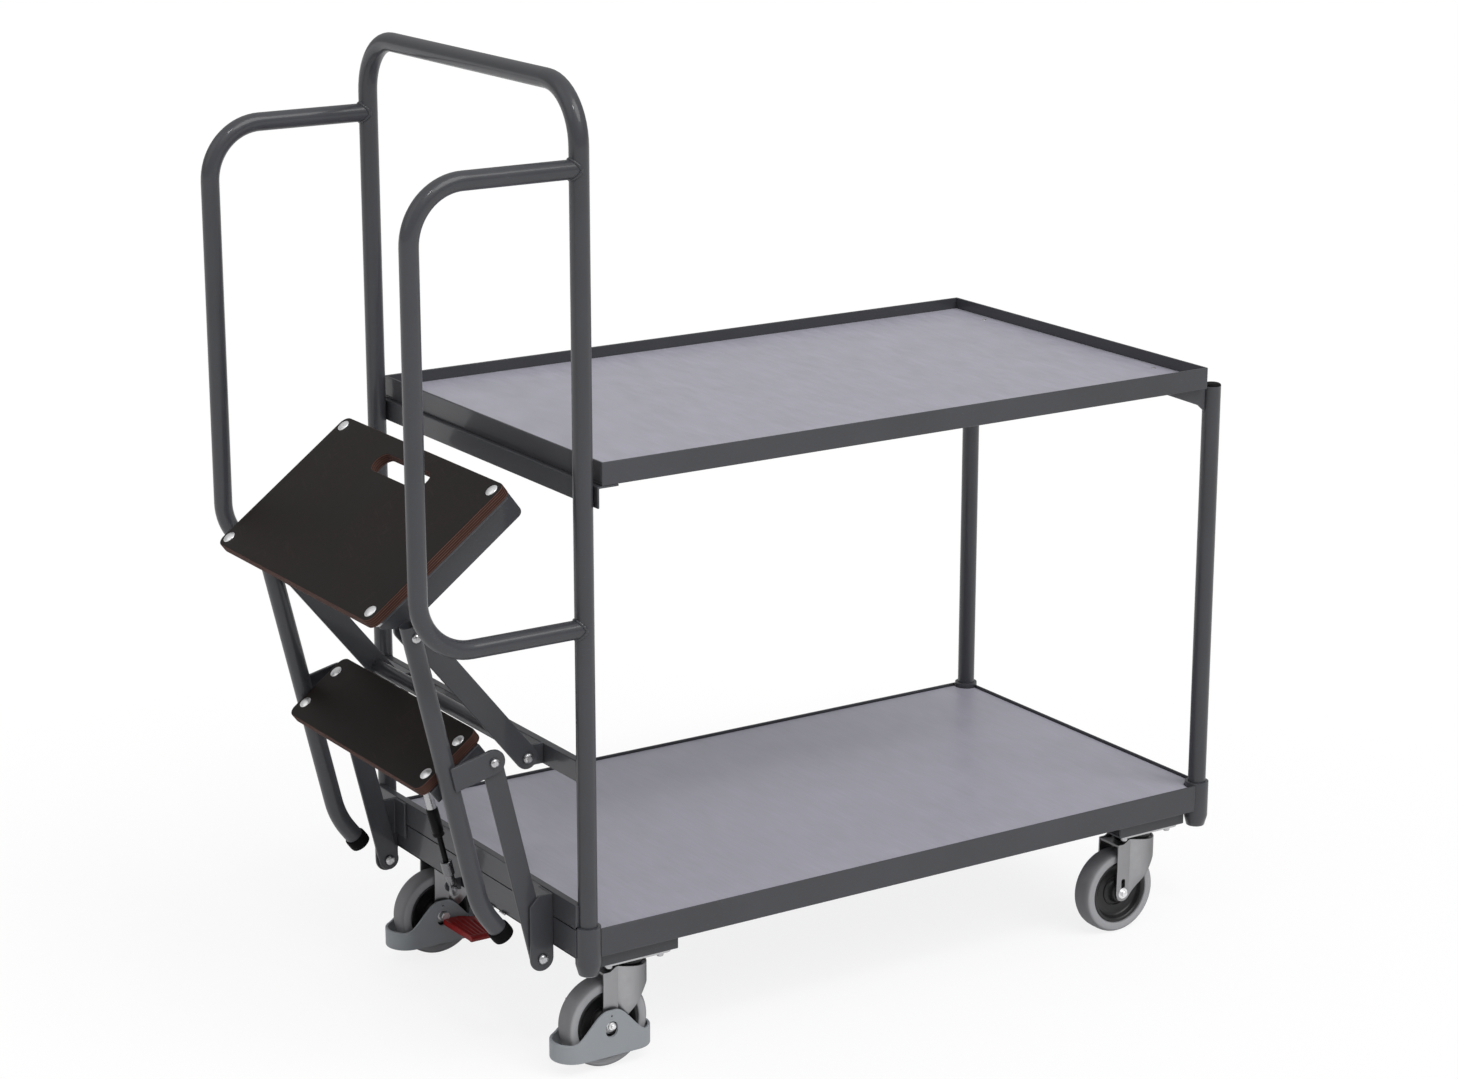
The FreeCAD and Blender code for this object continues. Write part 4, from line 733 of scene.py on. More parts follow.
def gather(shape, part, at):
    """Add a built part to a shape, set in place."""
    part.transform(at)
    mesh = bpy.data.meshes.new("Part")
    part.to_mesh(mesh)
    part.free()
    shape.from_mesh(mesh)
    bpy.data.meshes.remove(mesh)


def carve(mesh, thickness, cutters, rounding):
    """Thicken a sheet, round its rims and cut shapes through it."""
    holder = bpy.data.objects.new("Sheet", mesh)
    bpy.context.scene.collection.objects.link(holder)
    wall = holder.modifiers.new("Wall", "SOLIDIFY")
    wall.thickness = thickness
    wall.offset = -1
    round_off(holder, rounding, angle=55)
    tools = []
    for cutter in cutters:
        tool = bpy.data.objects.new("Cutter", skin(cutter, "Cutter"))
        bpy.context.scene.collection.objects.link(tool)
        cutting = holder.modifiers.new("Cut", "BOOLEAN")
        cutting.operation = "DIFFERENCE"
        cutting.solver = "EXACT"
        cutting.object = tool
        tools.append(tool)
    bpy.context.view_layer.update()
    settle(holder)
    shape = bmesh.new()
    shape.from_mesh(holder.data)
    for item in [holder, *tools]:
        data = item.data
        bpy.data.objects.remove(item)
        bpy.data.meshes.remove(data)
    return shape


def prism(outline, at, reach=0.05):
    """A cutter: an outline in XY drawn out to both sides."""
    shape = bmesh.new()
    ends = [[shape.verts.new(at @ Vector((x, y, depth))) for x, y in outline] for depth in (-reach, reach)]
    caps(shape, ends)
    band(shape, *ends)
    bmesh.ops.recalc_face_normals(shape, faces=shape.faces)
    return shape


def smooth_step(low, high, value):
    share = min(1, max(0, (value - low) / (high - low)))
    return share * share * (3 - 2 * share)


def sheet_of(columns, closed):
    """A grid of points as faces: each column holds its points from top to bottom."""
    shape = bmesh.new()
    made = [[shape.verts.new(point) for point in column] for column in columns]
    pairs = list(zip(made, made[1:]))
    if closed:
        pairs.append((made[-1], made[0]))
    for left, right in pairs:
        for row in range(len(left) - 1):
            shape.faces.new([left[row], left[row + 1], right[row + 1], right[row]])
    return shape


# Operators

class TrolleyOperator:
    """What the operators share."""

    bl_options = {"REGISTER"}


class TROLLEY_OT_frame(TrolleyOperator, bpy.types.Operator):
    """Coat the tubes and round the edges of beams, rims, bars and plates"""

    bl_idname = "trolley.frame"
    bl_label = "Frame"

    rim = 0.0009

    def execute(self, context):
        tubes = ["handle_frame", "handrail_near", "handrail_far", "load_posts", "arm_brace"]
        tubes += ["ladder_leg_near", "ladder_leg_far"]
        for node in tubes:
            dress(node, "paint")
        around = ("near", "far", "handle", "load")
        sheets = [f"{sheet}_{side}" for sheet in ("base_beam", "shelf_rim") for side in around]
        sheets += ["lower_crossbar", "mid_crossbar", "shelf_end_rail", "shelf_gussets"]
        sheets += ["upper_arm_brackets", "lower_arm_brackets", "caster_channels", "spring_bracket"]
        sheets += ["lower_tread_supports", "leg_links", "spring_clevis", "lower_arms"]
        for node in sheets:
            soften(node, "paint", forms().sheet_edge)
        self.upper_arms()
        self.tread_plates()
        self.sockets()
        return {"FINISHED"}

    def upper_arms(self):
        """Two flat bars whose upper ends widen round a pin that lies off their middle line."""
        half, wide_half, pin_offset = 0.016, 0.0225, 0.0105
        end_round, thickness, arm_y = 0.0155, 0.005, 0.186
        foot, pin = ARM_FOOT.xz, LADDER_PIN.xz
        along = (pin - foot).normalized()
        end = pin + Vector((along.y, -along.x)) * pin_offset
        run = (end - foot).length
        along = (end - foot).normalized()
        outline = rounded(
            [
                (-half, half, end_round), (-half, -half, end_round), (run + half, -half, end_round),
                (run + half, wide_half, 0.012), (run - 0.014, wide_half, 0.010), (run - 0.040, half, 0.020),
            ],
            steps=10,
        )
        shape = bmesh.new()
        for side in SIDES:
            at = Matrix(
                (
                    (along.x, -along.y, 0, foot.x),
                    (0, 0, 1, side * arm_y),
                    (along.y, along.x, 0, foot.y),
                    (0, 0, 0, 1),
                )
            )
            gather(shape, plate([outline], thickness, self.rim), at)
        bmesh.ops.recalc_face_normals(shape, faces=shape.faces)
        keep_flat(add_piece("upper_arms_flat", shape, "paint", ["upper_arms"], sharp=50))

    def tread_plates(self):
        """Folded plates under the top tread, their lower corners cut or rounded."""
        back, front, low, top = -0.022, 0.2185, 0.0035, 0.053
        cut, fold, flange_front = 0.026, 0.004, 0.207
        web = rounded(
            [
                (back + cut, low, 0.002), (front, low, 0.008), (front, top, 0), (back, top, 0),
                (back, low + cut, 0.002),
            ]
        )
        shape = bmesh.new()
        for side in SIDES:
            inner, outer = side * 0.189, side * 0.220
            inside = [(back, inner, 0), (flange_front, inner, 0)]
            outside = [(flange_front, outer, 0.003), (back, outer, 0.003)]
            upright = LADDER @ moved(0, inner + side * fold / 2, 0) @ rotated(90, "X")
            gather(shape, plate([web], fold, self.rim), upright)
            flange = plate([rounded(inside + outside)], fold, self.rim)
            gather(shape, flange, LADDER @ moved(0, 0, top - fold / 2))
        bmesh.ops.recalc_face_normals(shape, faces=shape.faces)
        keep_flat(add_piece("top_tread_plates", shape, "paint", ["top_tread_supports"], sharp=50))

    def sockets(self):
        """Turned post sockets with tapered lower ends and bare rims round them."""
        sleeves, rims = bmesh.new(), bmesh.new()
        sleeve = [
            (0.0131, 0.2238), (0.0166, 0.2240), (0.0172, 0.2237), (0.0174, 0.2230), (0.0174, 0.1718),
            (0.0172, 0.1700), (0.0135, 0.1567), (0.0131, 0.1563), (0, 0.1563), (0, 0.1900), (0.0131, 0.1900),
        ]
        rim = [
            (0.0100, 0.1560), (0.0127, 0.1556), (0.0132, 0.1559), (0.0134, 0.1565), (0.0126, 0.1568),
            (0.0100, 0.1568),
        ]
        for x in (POST_X, LOAD_X):
            for side in SIDES:
                at = moved(x, side * POST_Y, 0)
                lathe(sleeves, sleeve, at, segments=48, closed=True)
                lathe(rims, rim, at, segments=40, closed=True)
        add_piece("corner_sockets_turned", sleeves, "paint", ["corner_sockets"], sharp=40)
        add_piece("socket_rims", rims, "steel", sharp=60)


class TROLLEY_OT_boards(TrolleyOperator, bpy.types.Operator):
    """Lay the laminated boards and their small screws"""

    bl_idname = "trolley.boards"
    bl_label = "Boards"

    def execute(self, context):
        for node in ("base_board", "shelf_board"):
            soften(node, "laminate", forms().board_edge)
        handle_inset, load_inset, screw_y = 0.030, 0.0165, 0.201
        head = [
            (0, 0.0010), (0.0012, 0.0010), (0.0024, 0.0008), (0.0034, 0.0002), (0.0036, -0.0006),
            (0, -0.0006),
        ]
        low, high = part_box("shelf_board")
        shape = bmesh.new()
        for x in (low.x + handle_inset, high.x - load_inset):
            for side in SIDES:
                lathe(shape, head, moved(x, side * screw_y, high.z), segments=20)
        add_piece("shelf_screws", shape, "zinc")
        return {"FINISHED"}


class TROLLEY_OT_treads(TrolleyOperator, bpy.types.Operator):
    """Cut the two plywood treads with their rounded rims and grip hole"""

    bl_idname = "trolley.treads"
    bl_label = "Treads"

    def execute(self, context):
        thickness, corner = 0.015, 0.013
        grip_x, grip_wide, grip_deep = 0.172, 0.070, 0.015
        grip_round = grip_deep * 0.98
        for node, back, front, half, level in (
            ("top_tread", -0.036, 0.214, 0.222, 0.053),
            ("lower_tread", -0.119, -0.009, 0.190, -0.1945),
        ):
            middle = (back + front) / 2
            outlines = [oblong((front - back) / 2, half, corner)]
            if node == "top_tread":
                outlines.append(oblong(grip_deep, grip_wide, grip_round, x=grip_x - middle, steps=12))
            shape = plate(outlines, thickness, forms().tread_edge)
            at = LADDER @ moved(middle, 0, level + thickness / 2)
            keep_flat(add_piece(f"{node}_board", shape, "ply", [node], sharp=50, place_at=at))
        return {"FINISHED"}


class TROLLEY_OT_fasteners(TrolleyOperator, bpy.types.Operator):
    """Turn the treads' domed bolts, and round the pivot bolts"""

    bl_idname = "trolley.fasteners"
    bl_label = "Fasteners"

    def execute(self, context):
        heads, nuts = bmesh.new(), bmesh.new()
        dome = [
            (0, 0.0030), (0.0022, 0.0029), (0.0044, 0.0025), (0.0062, 0.0019), (0.0077, 0.0012),
            (0.0086, 0.0007), (0.0089, 0.0003), (0.0089, 0), (0, 0),
        ]
        stem = [(0, 0), (0.004, 0), (0.004, -0.0225), (0.0034, -0.0235), (0, -0.0235)]
        nut, nut_top, nut_end = 0.0070, -0.019, -0.0225
        for xs, half, level in (((-0.021, 0.199), 0.207, 0.068), ((-0.094, -0.034), 0.175, -0.1795)):
            for x in xs:
                for side in SIDES:
                    at = LADDER @ moved(x, side * half, level)
                    lathe(heads, dome, at, segments=28)
                    lathe(nuts, stem, at, segments=16)
                    hexagon(nuts, nut, nut_top, nut_end, at)
        add_piece("tread_bolts_domed", heads, "bright zinc", ["tread_bolts"], sharp=45)
        add_piece("tread_bolts_nuts", nuts, "zinc", ["tread_bolts"], sharp=45)
        for node in ("arm_pivot_bolts", "ladder_pivot_bolts"):
            self.pivots(node)
        return {"FINISHED"}

    def pivots(self, node):
        """Button-headed bolts along the node's own bolts."""
        shape = bmesh.new()
        for low, high in islands(frame["nodes"][node].data):
            middle = (low + high) / 2
            size = (high.x - low.x) / 2 * 0.94
            half = (high.y - low.y) / 2
            shank = [(0, -half), (size * 0.5, -half), (size * 0.5, half), (0, half)]
            head = [
                (0, half), (size * 0.30, half - 0.0001), (size * 0.62, half - 0.0006),
                (size * 0.88, half - 0.0017), (size, half - 0.0034), (size, half - 0.0052),
                (0, half - 0.0052),
            ]
            lathe(shape, shank, sideways(middle), segments=24)
            for side in SIDES:
                lathe(shape, head, sideways(middle, side), segments=32)
        add_piece(f"{node}_round", shape, "zinc", [node], sharp=45)


class TROLLEY_OT_casters(TrolleyOperator, bpy.types.Operator):
    """Form the caster plates, flanged bolts, pressed forks, hubs and tyres"""

    bl_idname = "trolley.casters"
    bl_label = "Casters"

    trail = 0.033

    def execute(self, context):
        axles = {name: axle_of(name) for name in CASTERS}
        self.plates(axles.values())
        for name, axle in axles.items():
            self.fork(name, axle)
            self.wheel(name, axle)
        return {"FINISHED"}

    def plates(self, axles):
        """Top plates with their rivets, black rings that paint the shade in the gap under each plate, and
        flanged bolts.
        """
        sheets, rings, bolts = bmesh.new(), bmesh.new(), bmesh.new()
        outline = oblong(half_x=0.0525, half_y=0.0425, radius=0.008)
        thickness, level, rim = 0.0035, 0.15825, 0.0007
        bolt_x, bolt_y = 0.040, 0.030
        nut, nut_low, nut_top = 0.0075, 0.1632, 0.1678
        rivet = [(0, 0.1305), (0.0070, 0.1310), (0.0100, 0.1325), (0.0105, 0.1352), (0, 0.1352)]
        # Painted shade: a black ring fills the gap between the plate and the fork's cup, where there is only
        # shadow.
        ring = [(0, 0.1564), (0.0270, 0.1564), (0.0275, 0.1500), (0.0262, 0.1420), (0, 0.1420)]
        bolt = [
            (0, 0.1482), (0.0026, 0.1483), (0.0042, 0.1490), (0.0049, 0.1504), (0.0051, 0.1546),
            (0.0070, 0.1550), (0.0075, 0.1556), (0.0075, 0.1566), (0.0040, 0.1566), (0.0040, 0.1690),
            (0, 0.1690),
        ]
        for axle in axles:
            at = moved(axle.x + self.trail, axle.y, 0)
            gather(sheets, plate([outline], thickness, rim), at @ moved(0, 0, level))
            lathe(sheets, rivet, at, segments=28)
            lathe(rings, ring, at, segments=48)
            for x in (-bolt_x, bolt_x):
                for y in (-bolt_y, bolt_y):
                    corner = at @ moved(x, y, 0)
                    lathe(bolts, bolt, corner, segments=28)
                    hexagon(bolts, nut, nut_low, nut_top, corner)
        keep_flat(add_piece("caster_plates_flat", sheets, "zinc", ["caster_plates"], sharp=50))
        # The black rings under the plates are painted shade.
        add_piece("caster_shade_rings", rings, "hub", ["caster_plates"], sharp=45)
        add_piece("caster_bolts_flanged", bolts, "zinc", ["caster_bolts"], sharp=45)

    def lower_edge(self, reach, boss, level):
        """Height of the fork's lower edge at a reach from the axle: round end, then two slopes."""
        touch, drop = 0.797, 0.604
        steep, gentle = 1.32, 0.45
        knee, knee_rise, softness = 0.045, 0.0440, 0.004
        if reach < touch * boss:
            return level - math.sqrt(max(0, boss**2 - reach**2))
        first = level - drop * boss + steep * (reach - touch * boss)
        second = level + knee_rise + gentle * (reach - knee)
        return (first + second - math.sqrt((first - second) ** 2 + softness**2)) / 2

    def fork(self, name, axle):
        """Flat legs that widen upwards into a round cup, pressed from one sheet."""
        trail, radius, flat, boss = self.trail, 0.0318, 0.023, 0.0125
        leg_top, cup_rise, cup_fall = 0.1392, 0.0063, 0.0050
        cup_start, cup_low, cup_high = -0.036, 0.056, 0.092
        lean_out, lean_height = 0.0018, 0.077
        slot_rise, web_size, web_at = 0.0148, (0.0235, 0.041, 0.003), (-0.0312, 0, 0.1367)
        crown = [(0, 0.1385), (0.0297, 0.1385), (0.0297, 0.1352), (0, 0.1352)]
        ledge, turns, rows = 10, 72, 30
        crease = math.sqrt(radius**2 - flat**2)
        leg_run = trail + boss - crease
        start = math.atan2(-flat, -crease)
        plan = [(-crease - leg_run * (1 - step / ledge), -flat) for step in range(ledge)]
        for step in range(turns + 1):
            angle = start - 2 * start * step / turns
            plan.append((radius * math.cos(angle), radius * math.sin(angle)))
        plan += [(x, -y) for x, y in reversed(plan[:ledge])]
        columns = []
        for x, y in plan:
            top = leg_top + cup_rise * smooth_step(cup_start, -crease, x)
            top -= cup_fall * smooth_step(-crease, radius, x)
            bottom = self.lower_edge(x + trail, boss, axle.z)
            column = []
            for row in range(rows + 1):
                level = top + (bottom - top) * row / rows
                wide = abs(y)
                if wide > flat:
                    wide = flat + (wide - flat) * smooth_step(cup_low, cup_high, level)
                lean = lean_out * (level - axle.z) / lean_height * max(0, (-crease - x) / leg_run)
                column.append(Vector((x + lean, math.copysign(wide, y), level)))
            columns.append(column)
        cutters = []
        if name not in BRAKED:
            slot_at = moved(-trail, 0, axle.z + slot_rise) @ rotated(90, "X")
            cutters.append(prism(oblong(half_x=0.0035, half_y=0.0075, radius=0.0034), slot_at))
        sheet = skin(sheet_of(columns, closed=False), "fork")
        shape = carve(sheet, forms().fork_sheet, cutters, rounding=0.0006)
        lathe(shape, crown, segments=48)
        block(shape, web_size, web_at)
        at = moved(axle.x + trail, axle.y, 0)
        nodes = [f"fork_{name}"]
        keep_flat(add_piece(f"fork_{name}_pressed", shape, "brushed zinc", nodes, sharp=24, place_at=at))
        self.axle(name, axle, at)

    def axle(self, name, axle, place_at):
        """The axle's ends: a washer with its bolt end outside, a hexagon inside, or plain domes."""
        shank = [(0, 0), (0.006, 0), (0.006, 0.0225), (0, 0.0225)]
        washer = [
            (0, 0.0228), (0.0086, 0.0228), (0.0088, 0.0238), (0.0080, 0.0248), (0.0066, 0.0254),
            (0.0060, 0.0272), (0.0052, 0.0278), (0.0036, 0.0279), (0.0036, 0.0300), (0.0030, 0.0306),
            (0, 0.0307),
        ]
        flange = [(0, 0.0228), (0.0088, 0.0228), (0.0090, 0.0236), (0.0086, 0.0244), (0, 0.0244)]
        dome = [
            (0, 0.0226), (0.0080, 0.0226), (0.0082, 0.0232), (0.0078, 0.0238), (0.0046, 0.0239),
            (0.0045, 0.0280), (0.0036, 0.0288), (0, 0.0290),
        ]
        nut, nut_low, nut_top, nut_cone = 0.0078, 0.0244, 0.0335, 0.2
        outer = math.copysign(1, axle.y)
        shape = bmesh.new()
        for side in SIDES:
            at = sideways((-self.trail, 0, axle.z), side)
            lathe(shape, shank, at, segments=24)
            if name not in BRAKED:
                lathe(shape, dome, at, segments=28)
            elif side == outer:
                lathe(shape, washer, at, segments=32)
            else:
                lathe(shape, flange, at, segments=28)
                hexagon(shape, nut, nut_low, nut_top, at, nut_cone)
        add_piece(f"axle_{name}_bolt", shape, "bright zinc", [f"fork_{name}"], sharp=40, place_at=place_at)

    def wheel(self, name, axle):
        """A tyre and a dished hub, each turned from one half of its profile and its mirror image."""
        tyre = [
            (0.0470, 0.0150), (0.0477, 0.0162), (0.0490, 0.0168), (0.0525, 0.0169), (0.0560, 0.0168),
            (0.0583, 0.0161), (0.0603, 0.0145), (0.0616, 0.0120), (0.0623, 0.0086), (0.0625, 0.0045),
        ]
        hub = [
            (0.0062, 0.0192), (0.0125, 0.0192), (0.0140, 0.0182), (0.0150, 0.0150), (0.0165, 0.0100),
            (0.0185, 0.0078), (0.0215, 0.0070), (0.0222, 0.0082), (0.0232, 0.0082), (0.0240, 0.0066),
            (0.0310, 0.0056), (0.0378, 0.0060), (0.0396, 0.0080), (0.0412, 0.0128), (0.0424, 0.0148),
            (0.0445, 0.0154), (0.0462, 0.0154), (0.0470, 0.0146),
        ]
        for part, half in (("tyre", tyre), ("hub", hub)):
            profile = half + [(radius, -level) for radius, level in reversed(half)]
            shape = lathe(bmesh.new(), profile, sideways(axle), segments=96, closed=True)
            add_piece(f"{part}_{name}_turned", shape, part, [f"{part}_{name}"], sharp=50)


class TROLLEY_OT_guards(TrolleyOperator, bpy.types.Operator):
    """Form the foot guards with their humps and windows, and the brake pedals"""

    bl_idname = "trolley.guards"
    bl_label = "Guards and pedals"

    pin_out, pin_level, pin_ahead = 0.040, 0.055, 0.020

    def execute(self, context):
        for name in BRAKED:
            axle = axle_of(name)
            inward = 1 if axle.y < 0 else -1
            self.guard(name, axle, inward)
            self.pedal(name, axle, inward)
        return {"FINISHED"}

    def guard(self, name, axle, inward):
        """A wall round the wheel that rises to a hump on each side, with a window and a small hole."""
        half, back, front = 0.031, 0.047, 0.039
        low, ring_top, apex, middle = 0.0213, 0.0483, 0.0875, -0.0035
        slope_ahead, slope_behind = (0.007, 0.058), (0.005, 0.060)
        window = {"radius": 0.0094, "drop": 0.0040, "rise": 0}
        hole = {"radius": 0.0014, "drop": 0, "rise": 0.017}
        straight, turns, rows = 44, 20, 16
        plan = []
        for start, end, side in ((-back, front, -1), (front, -back, 1)):
            for step in range(straight):
                plan.append((start + (end - start) * step / straight, side * half))
            for step in range(turns):
                angle = math.radians(side * 90 + 180 * step / turns)
                plan.append((end + half * math.cos(angle), half * math.sin(angle)))
        columns = []
        for x, y in plan:
            away = x - middle
            fall = smooth_step(*(slope_ahead if away > 0 else slope_behind), abs(away))
            top = ring_top + (apex - ring_top) * (1 - fall)
            columns.append([Vector((x, y, top + (low - top) * row / rows)) for row in range(rows + 1)])
        cutters = [self.opening(middle, axle.z, **opening) for opening in (window, hole)]
        sheet = skin(sheet_of(columns, closed=True), "guard")
        shape = carve(sheet, forms().guard_wall, cutters, rounding=0.0012)
        self.ears(shape, inward)
        at = moved(axle.x, axle.y, 0)
        nodes = [f"guard_{name}"]
        keep_flat(add_piece(f"guard_{name}_moulded", shape, "guard", nodes, sharp=40, place_at=at))

    def opening(self, x, level, radius, drop, rise):
        """A cutter for a round opening above the axle, drawn out downwards by a drop."""
        steps = 40
        outline = []
        for step in range(steps):
            angle = 2 * math.pi * step / steps
            shift = rise if math.sin(angle) >= 0 else rise - drop
            outline.append((x + radius * math.cos(angle), level + radius * math.sin(angle) + shift))
        return prism(outline, rotated(90, "X"))

    def ears(self, shape, inward):
        """Two lugs and the pin that carry the pedal."""
        ear_apart, foot_y, foot_size = 0.0180, 0.0345, (0.004, 0.012, 0.0068)
        lug = [(0, -0.002), (0.0036, -0.002), (0.0038, 0), (0.0036, 0.002), (0, 0.002)]
        pin = [(0, -0.020), (0.003, -0.020), (0.003, 0.020), (0, 0.020)]
        pin_y = inward * self.pin_out
        along_x = rotated(90, "Y")
        for end in SIDES:
            x = self.pin_ahead + end * ear_apart
            lathe(shape, lug, moved(x, pin_y, self.pin_level) @ along_x, segments=24)
            block(shape, foot_size, (x, inward * foot_y, self.pin_level))
        lathe(shape, pin, moved(self.pin_ahead, pin_y, self.pin_level) @ along_x, segments=20)

    def pedal(self, name, axle, inward):
        """A blade with grooves along its length, raised rims and a thick rounded tip."""
        half, thick, long = 0.0242, 0.0042, 0.0675
        grooves, groove_depth, rim_rise, tip_round = 6, 0.0016, 0.0008, 0.0030
        taper, side_taper, set_back, tilt = 0.26, 0.12, 0.015, -3
        tip_start, rim_start, rim_end = 0.0650, 0.86, 0.93
        across = 48
        stretches = (
            (-0.0076, 0, -0.0030), (-0.0068, 0, 0), (0.0060, 0, 0), (0.0110, 1, 0), (0.0565, 1, 0),
            (0.0605, 0.3, 0.0004), (0.0635, 0, 0.0010), (0.0660, 0, 0.0010), (0.0670, 0, 0.0006),
            (long, 0, -0.0006),
        )
        rings = []
        shape = bmesh.new()
        for run, depth, lip in stretches:
            rounding = tip_round * smooth_step(tip_start, long, run)
            upper, under = [], []
            for step in range(across + 1):
                share = 2 * step / across - 1
                groove = 0.5 - 0.5 * math.cos(share * math.pi * grooves)
                rim = smooth_step(rim_start, rim_end, abs(share))
                top = thick - groove_depth * depth * groove * (1 - rim) + rim_rise * depth * rim - rounding
                beside = max(0, -share)
                x = share * half * (1 - (taper + side_taper * beside) * max(0, run) / long)
                y = run + set_back * beside * (1 - max(0, run) / long)
                upper.append(shape.verts.new((x, y, top)))
                under.append(shape.verts.new((x, y, -thick - lip + rounding)))
            rings.append(upper + under[::-1])
        for first, second in zip(rings, rings[1:]):
            band(shape, first, second)
        caps(shape, rings)
        bmesh.ops.recalc_face_normals(shape, faces=shape.faces)
        pin = moved(axle.x + self.pin_ahead, axle.y + inward * self.pin_out, self.pin_level)
        turn = Matrix.Rotation(0 if inward > 0 else math.pi, 4, "Z") @ rotated(tilt, "X")
        nodes = [f"brake_pedal_{name}"]
        piece = add_piece(f"brake_pedal_{name}_ribbed", shape, "pedal", nodes, sharp=35, place_at=pin @ turn)
        round_off(piece, width=0.0005, segments=1, angle=50)


class TROLLEY_OT_spring(TrolleyOperator, bpy.types.Operator):
    """Turn the gas spring's rod, fitting, collar and tube"""

    bl_idname = "trolley.spring"
    bl_label = "Gas spring"

    def execute(self, context):
        foot = Vector((POST_X - 0.035, 0.025, 0.185))
        head = LADDER @ Vector((-0.023, 0.025, -0.212))
        along = (head - foot).normalized()
        across = Vector((0, 1, 0)).cross(along)
        at = Matrix.Translation(foot) @ Matrix((across, (0, 1, 0), along)).transposed().to_4x4()
        self.fitting(at)
        rod = [(0, 0.160), (0.0041, 0.160), (0.0041, 0.037), (0, 0.037)]
        shape = lathe(bmesh.new(), rod, at, segments=24)
        add_piece("spring_rod_black", shape, "spring black", ["spring_rod"])
        collar = [
            (0.0042, 0.1250), (0.0078, 0.1250), (0.0085, 0.1240), (0.0085, 0.0905), (0.0079, 0.0895),
            (0.0079, 0.0872), (0.0085, 0.0862), (0.0085, 0.0832), (0.0074, 0.0820), (0.0042, 0.0820),
        ]
        shape = lathe(bmesh.new(), collar, at, segments=40, closed=True)
        add_piece("spring_collar_ribbed", shape, "spring black", ["spring_collar"], sharp=45)
        soften("spring_cylinder", "steel", width=0.0006)
        return {"FINISHED"}

    def fitting(self, at):
        """The lower end: a stepped sleeve, a flat tail and the stud it turns on."""
        sleeve = [
            (0.0040, 0.0400), (0.0078, 0.0412), (0.0084, 0.0404), (0.0084, 0.0396), (0.0081, 0.0390),
            (0.0082, 0.0215), (0.0076, 0.0205), (0.0062, 0.0198), (0.0060, 0.0120), (0.0056, 0.0060),
            (0, 0.0060),
        ]
        half, low, top = 0.0052, -0.0130, 0.0120
        tail = rounded([(-half, low, 0.0030), (half, low, 0.0030), (half, top, 0.0020), (-half, top, 0.0020)])
        stud = [
            (0, 0.0112), (0.0020, 0.0110), (0.0032, 0.0102), (0.0035, 0.0090), (0.0035, 0.0072),
            (0.0046, 0.0070), (0.0048, 0.0062), (0.0046, 0.0054), (0.0034, 0.0052), (0.0034, 0), (0, 0),
        ]
        upright = at @ rotated(90, "X")
        shape = lathe(bmesh.new(), sleeve, at, segments=36)
        gather(shape, plate([tail], thickness=0.0090, rounding=0.0008), upright)
        lathe(shape, stud, upright, segments=28)
        add_piece("spring_fitting", shape, "fitting", ["spring_rod"], sharp=45)


class TROLLEY_OT_rubber(TrolleyOperator, bpy.types.Operator):
    """Mould the ladder's shoes and the posts' plugs"""

    bl_idname = "trolley.rubber"
    bl_label = "Shoes and plugs"

    def execute(self, context):
        leg_lean, leg_length, leg_foot, plug_level = math.radians(23.6), 0.3989, 0.0553, 0.820
        foot_x = -leg_length * math.sin(leg_lean)
        foot_z = -leg_length * math.cos(leg_lean) - leg_foot
        shoe = [
            (0.0131, 0.0135), (0.0143, 0.0135), (0.0150, 0.0128), (0.0153, 0.0105), (0.0154, 0.0010),
            (0.0148, -0.0028), (0.0132, -0.0039), (0, -0.0040),
        ]
        plug = [
            (0, 0.0040), (0.0070, 0.0038), (0.0108, 0.0031), (0.0126, 0.0018), (0.0130, 0.0004),
            (0.0128, 0), (0, 0),
        ]
        shoes, plugs = bmesh.new(), bmesh.new()
        for side in SIDES:
            lathe(shoes, shoe, LADDER @ moved(foot_x, side * LEG_Y, foot_z))
            lathe(plugs, plug, moved(LOAD_X, side * POST_Y, plug_level))
        add_piece("leg_shoes_moulded", shoes, "shoe", ["leg_shoes"], sharp=45)
        add_piece("post_plugs", plugs, "cap", ["post_caps"], sharp=45)
        return {"FINISHED"}


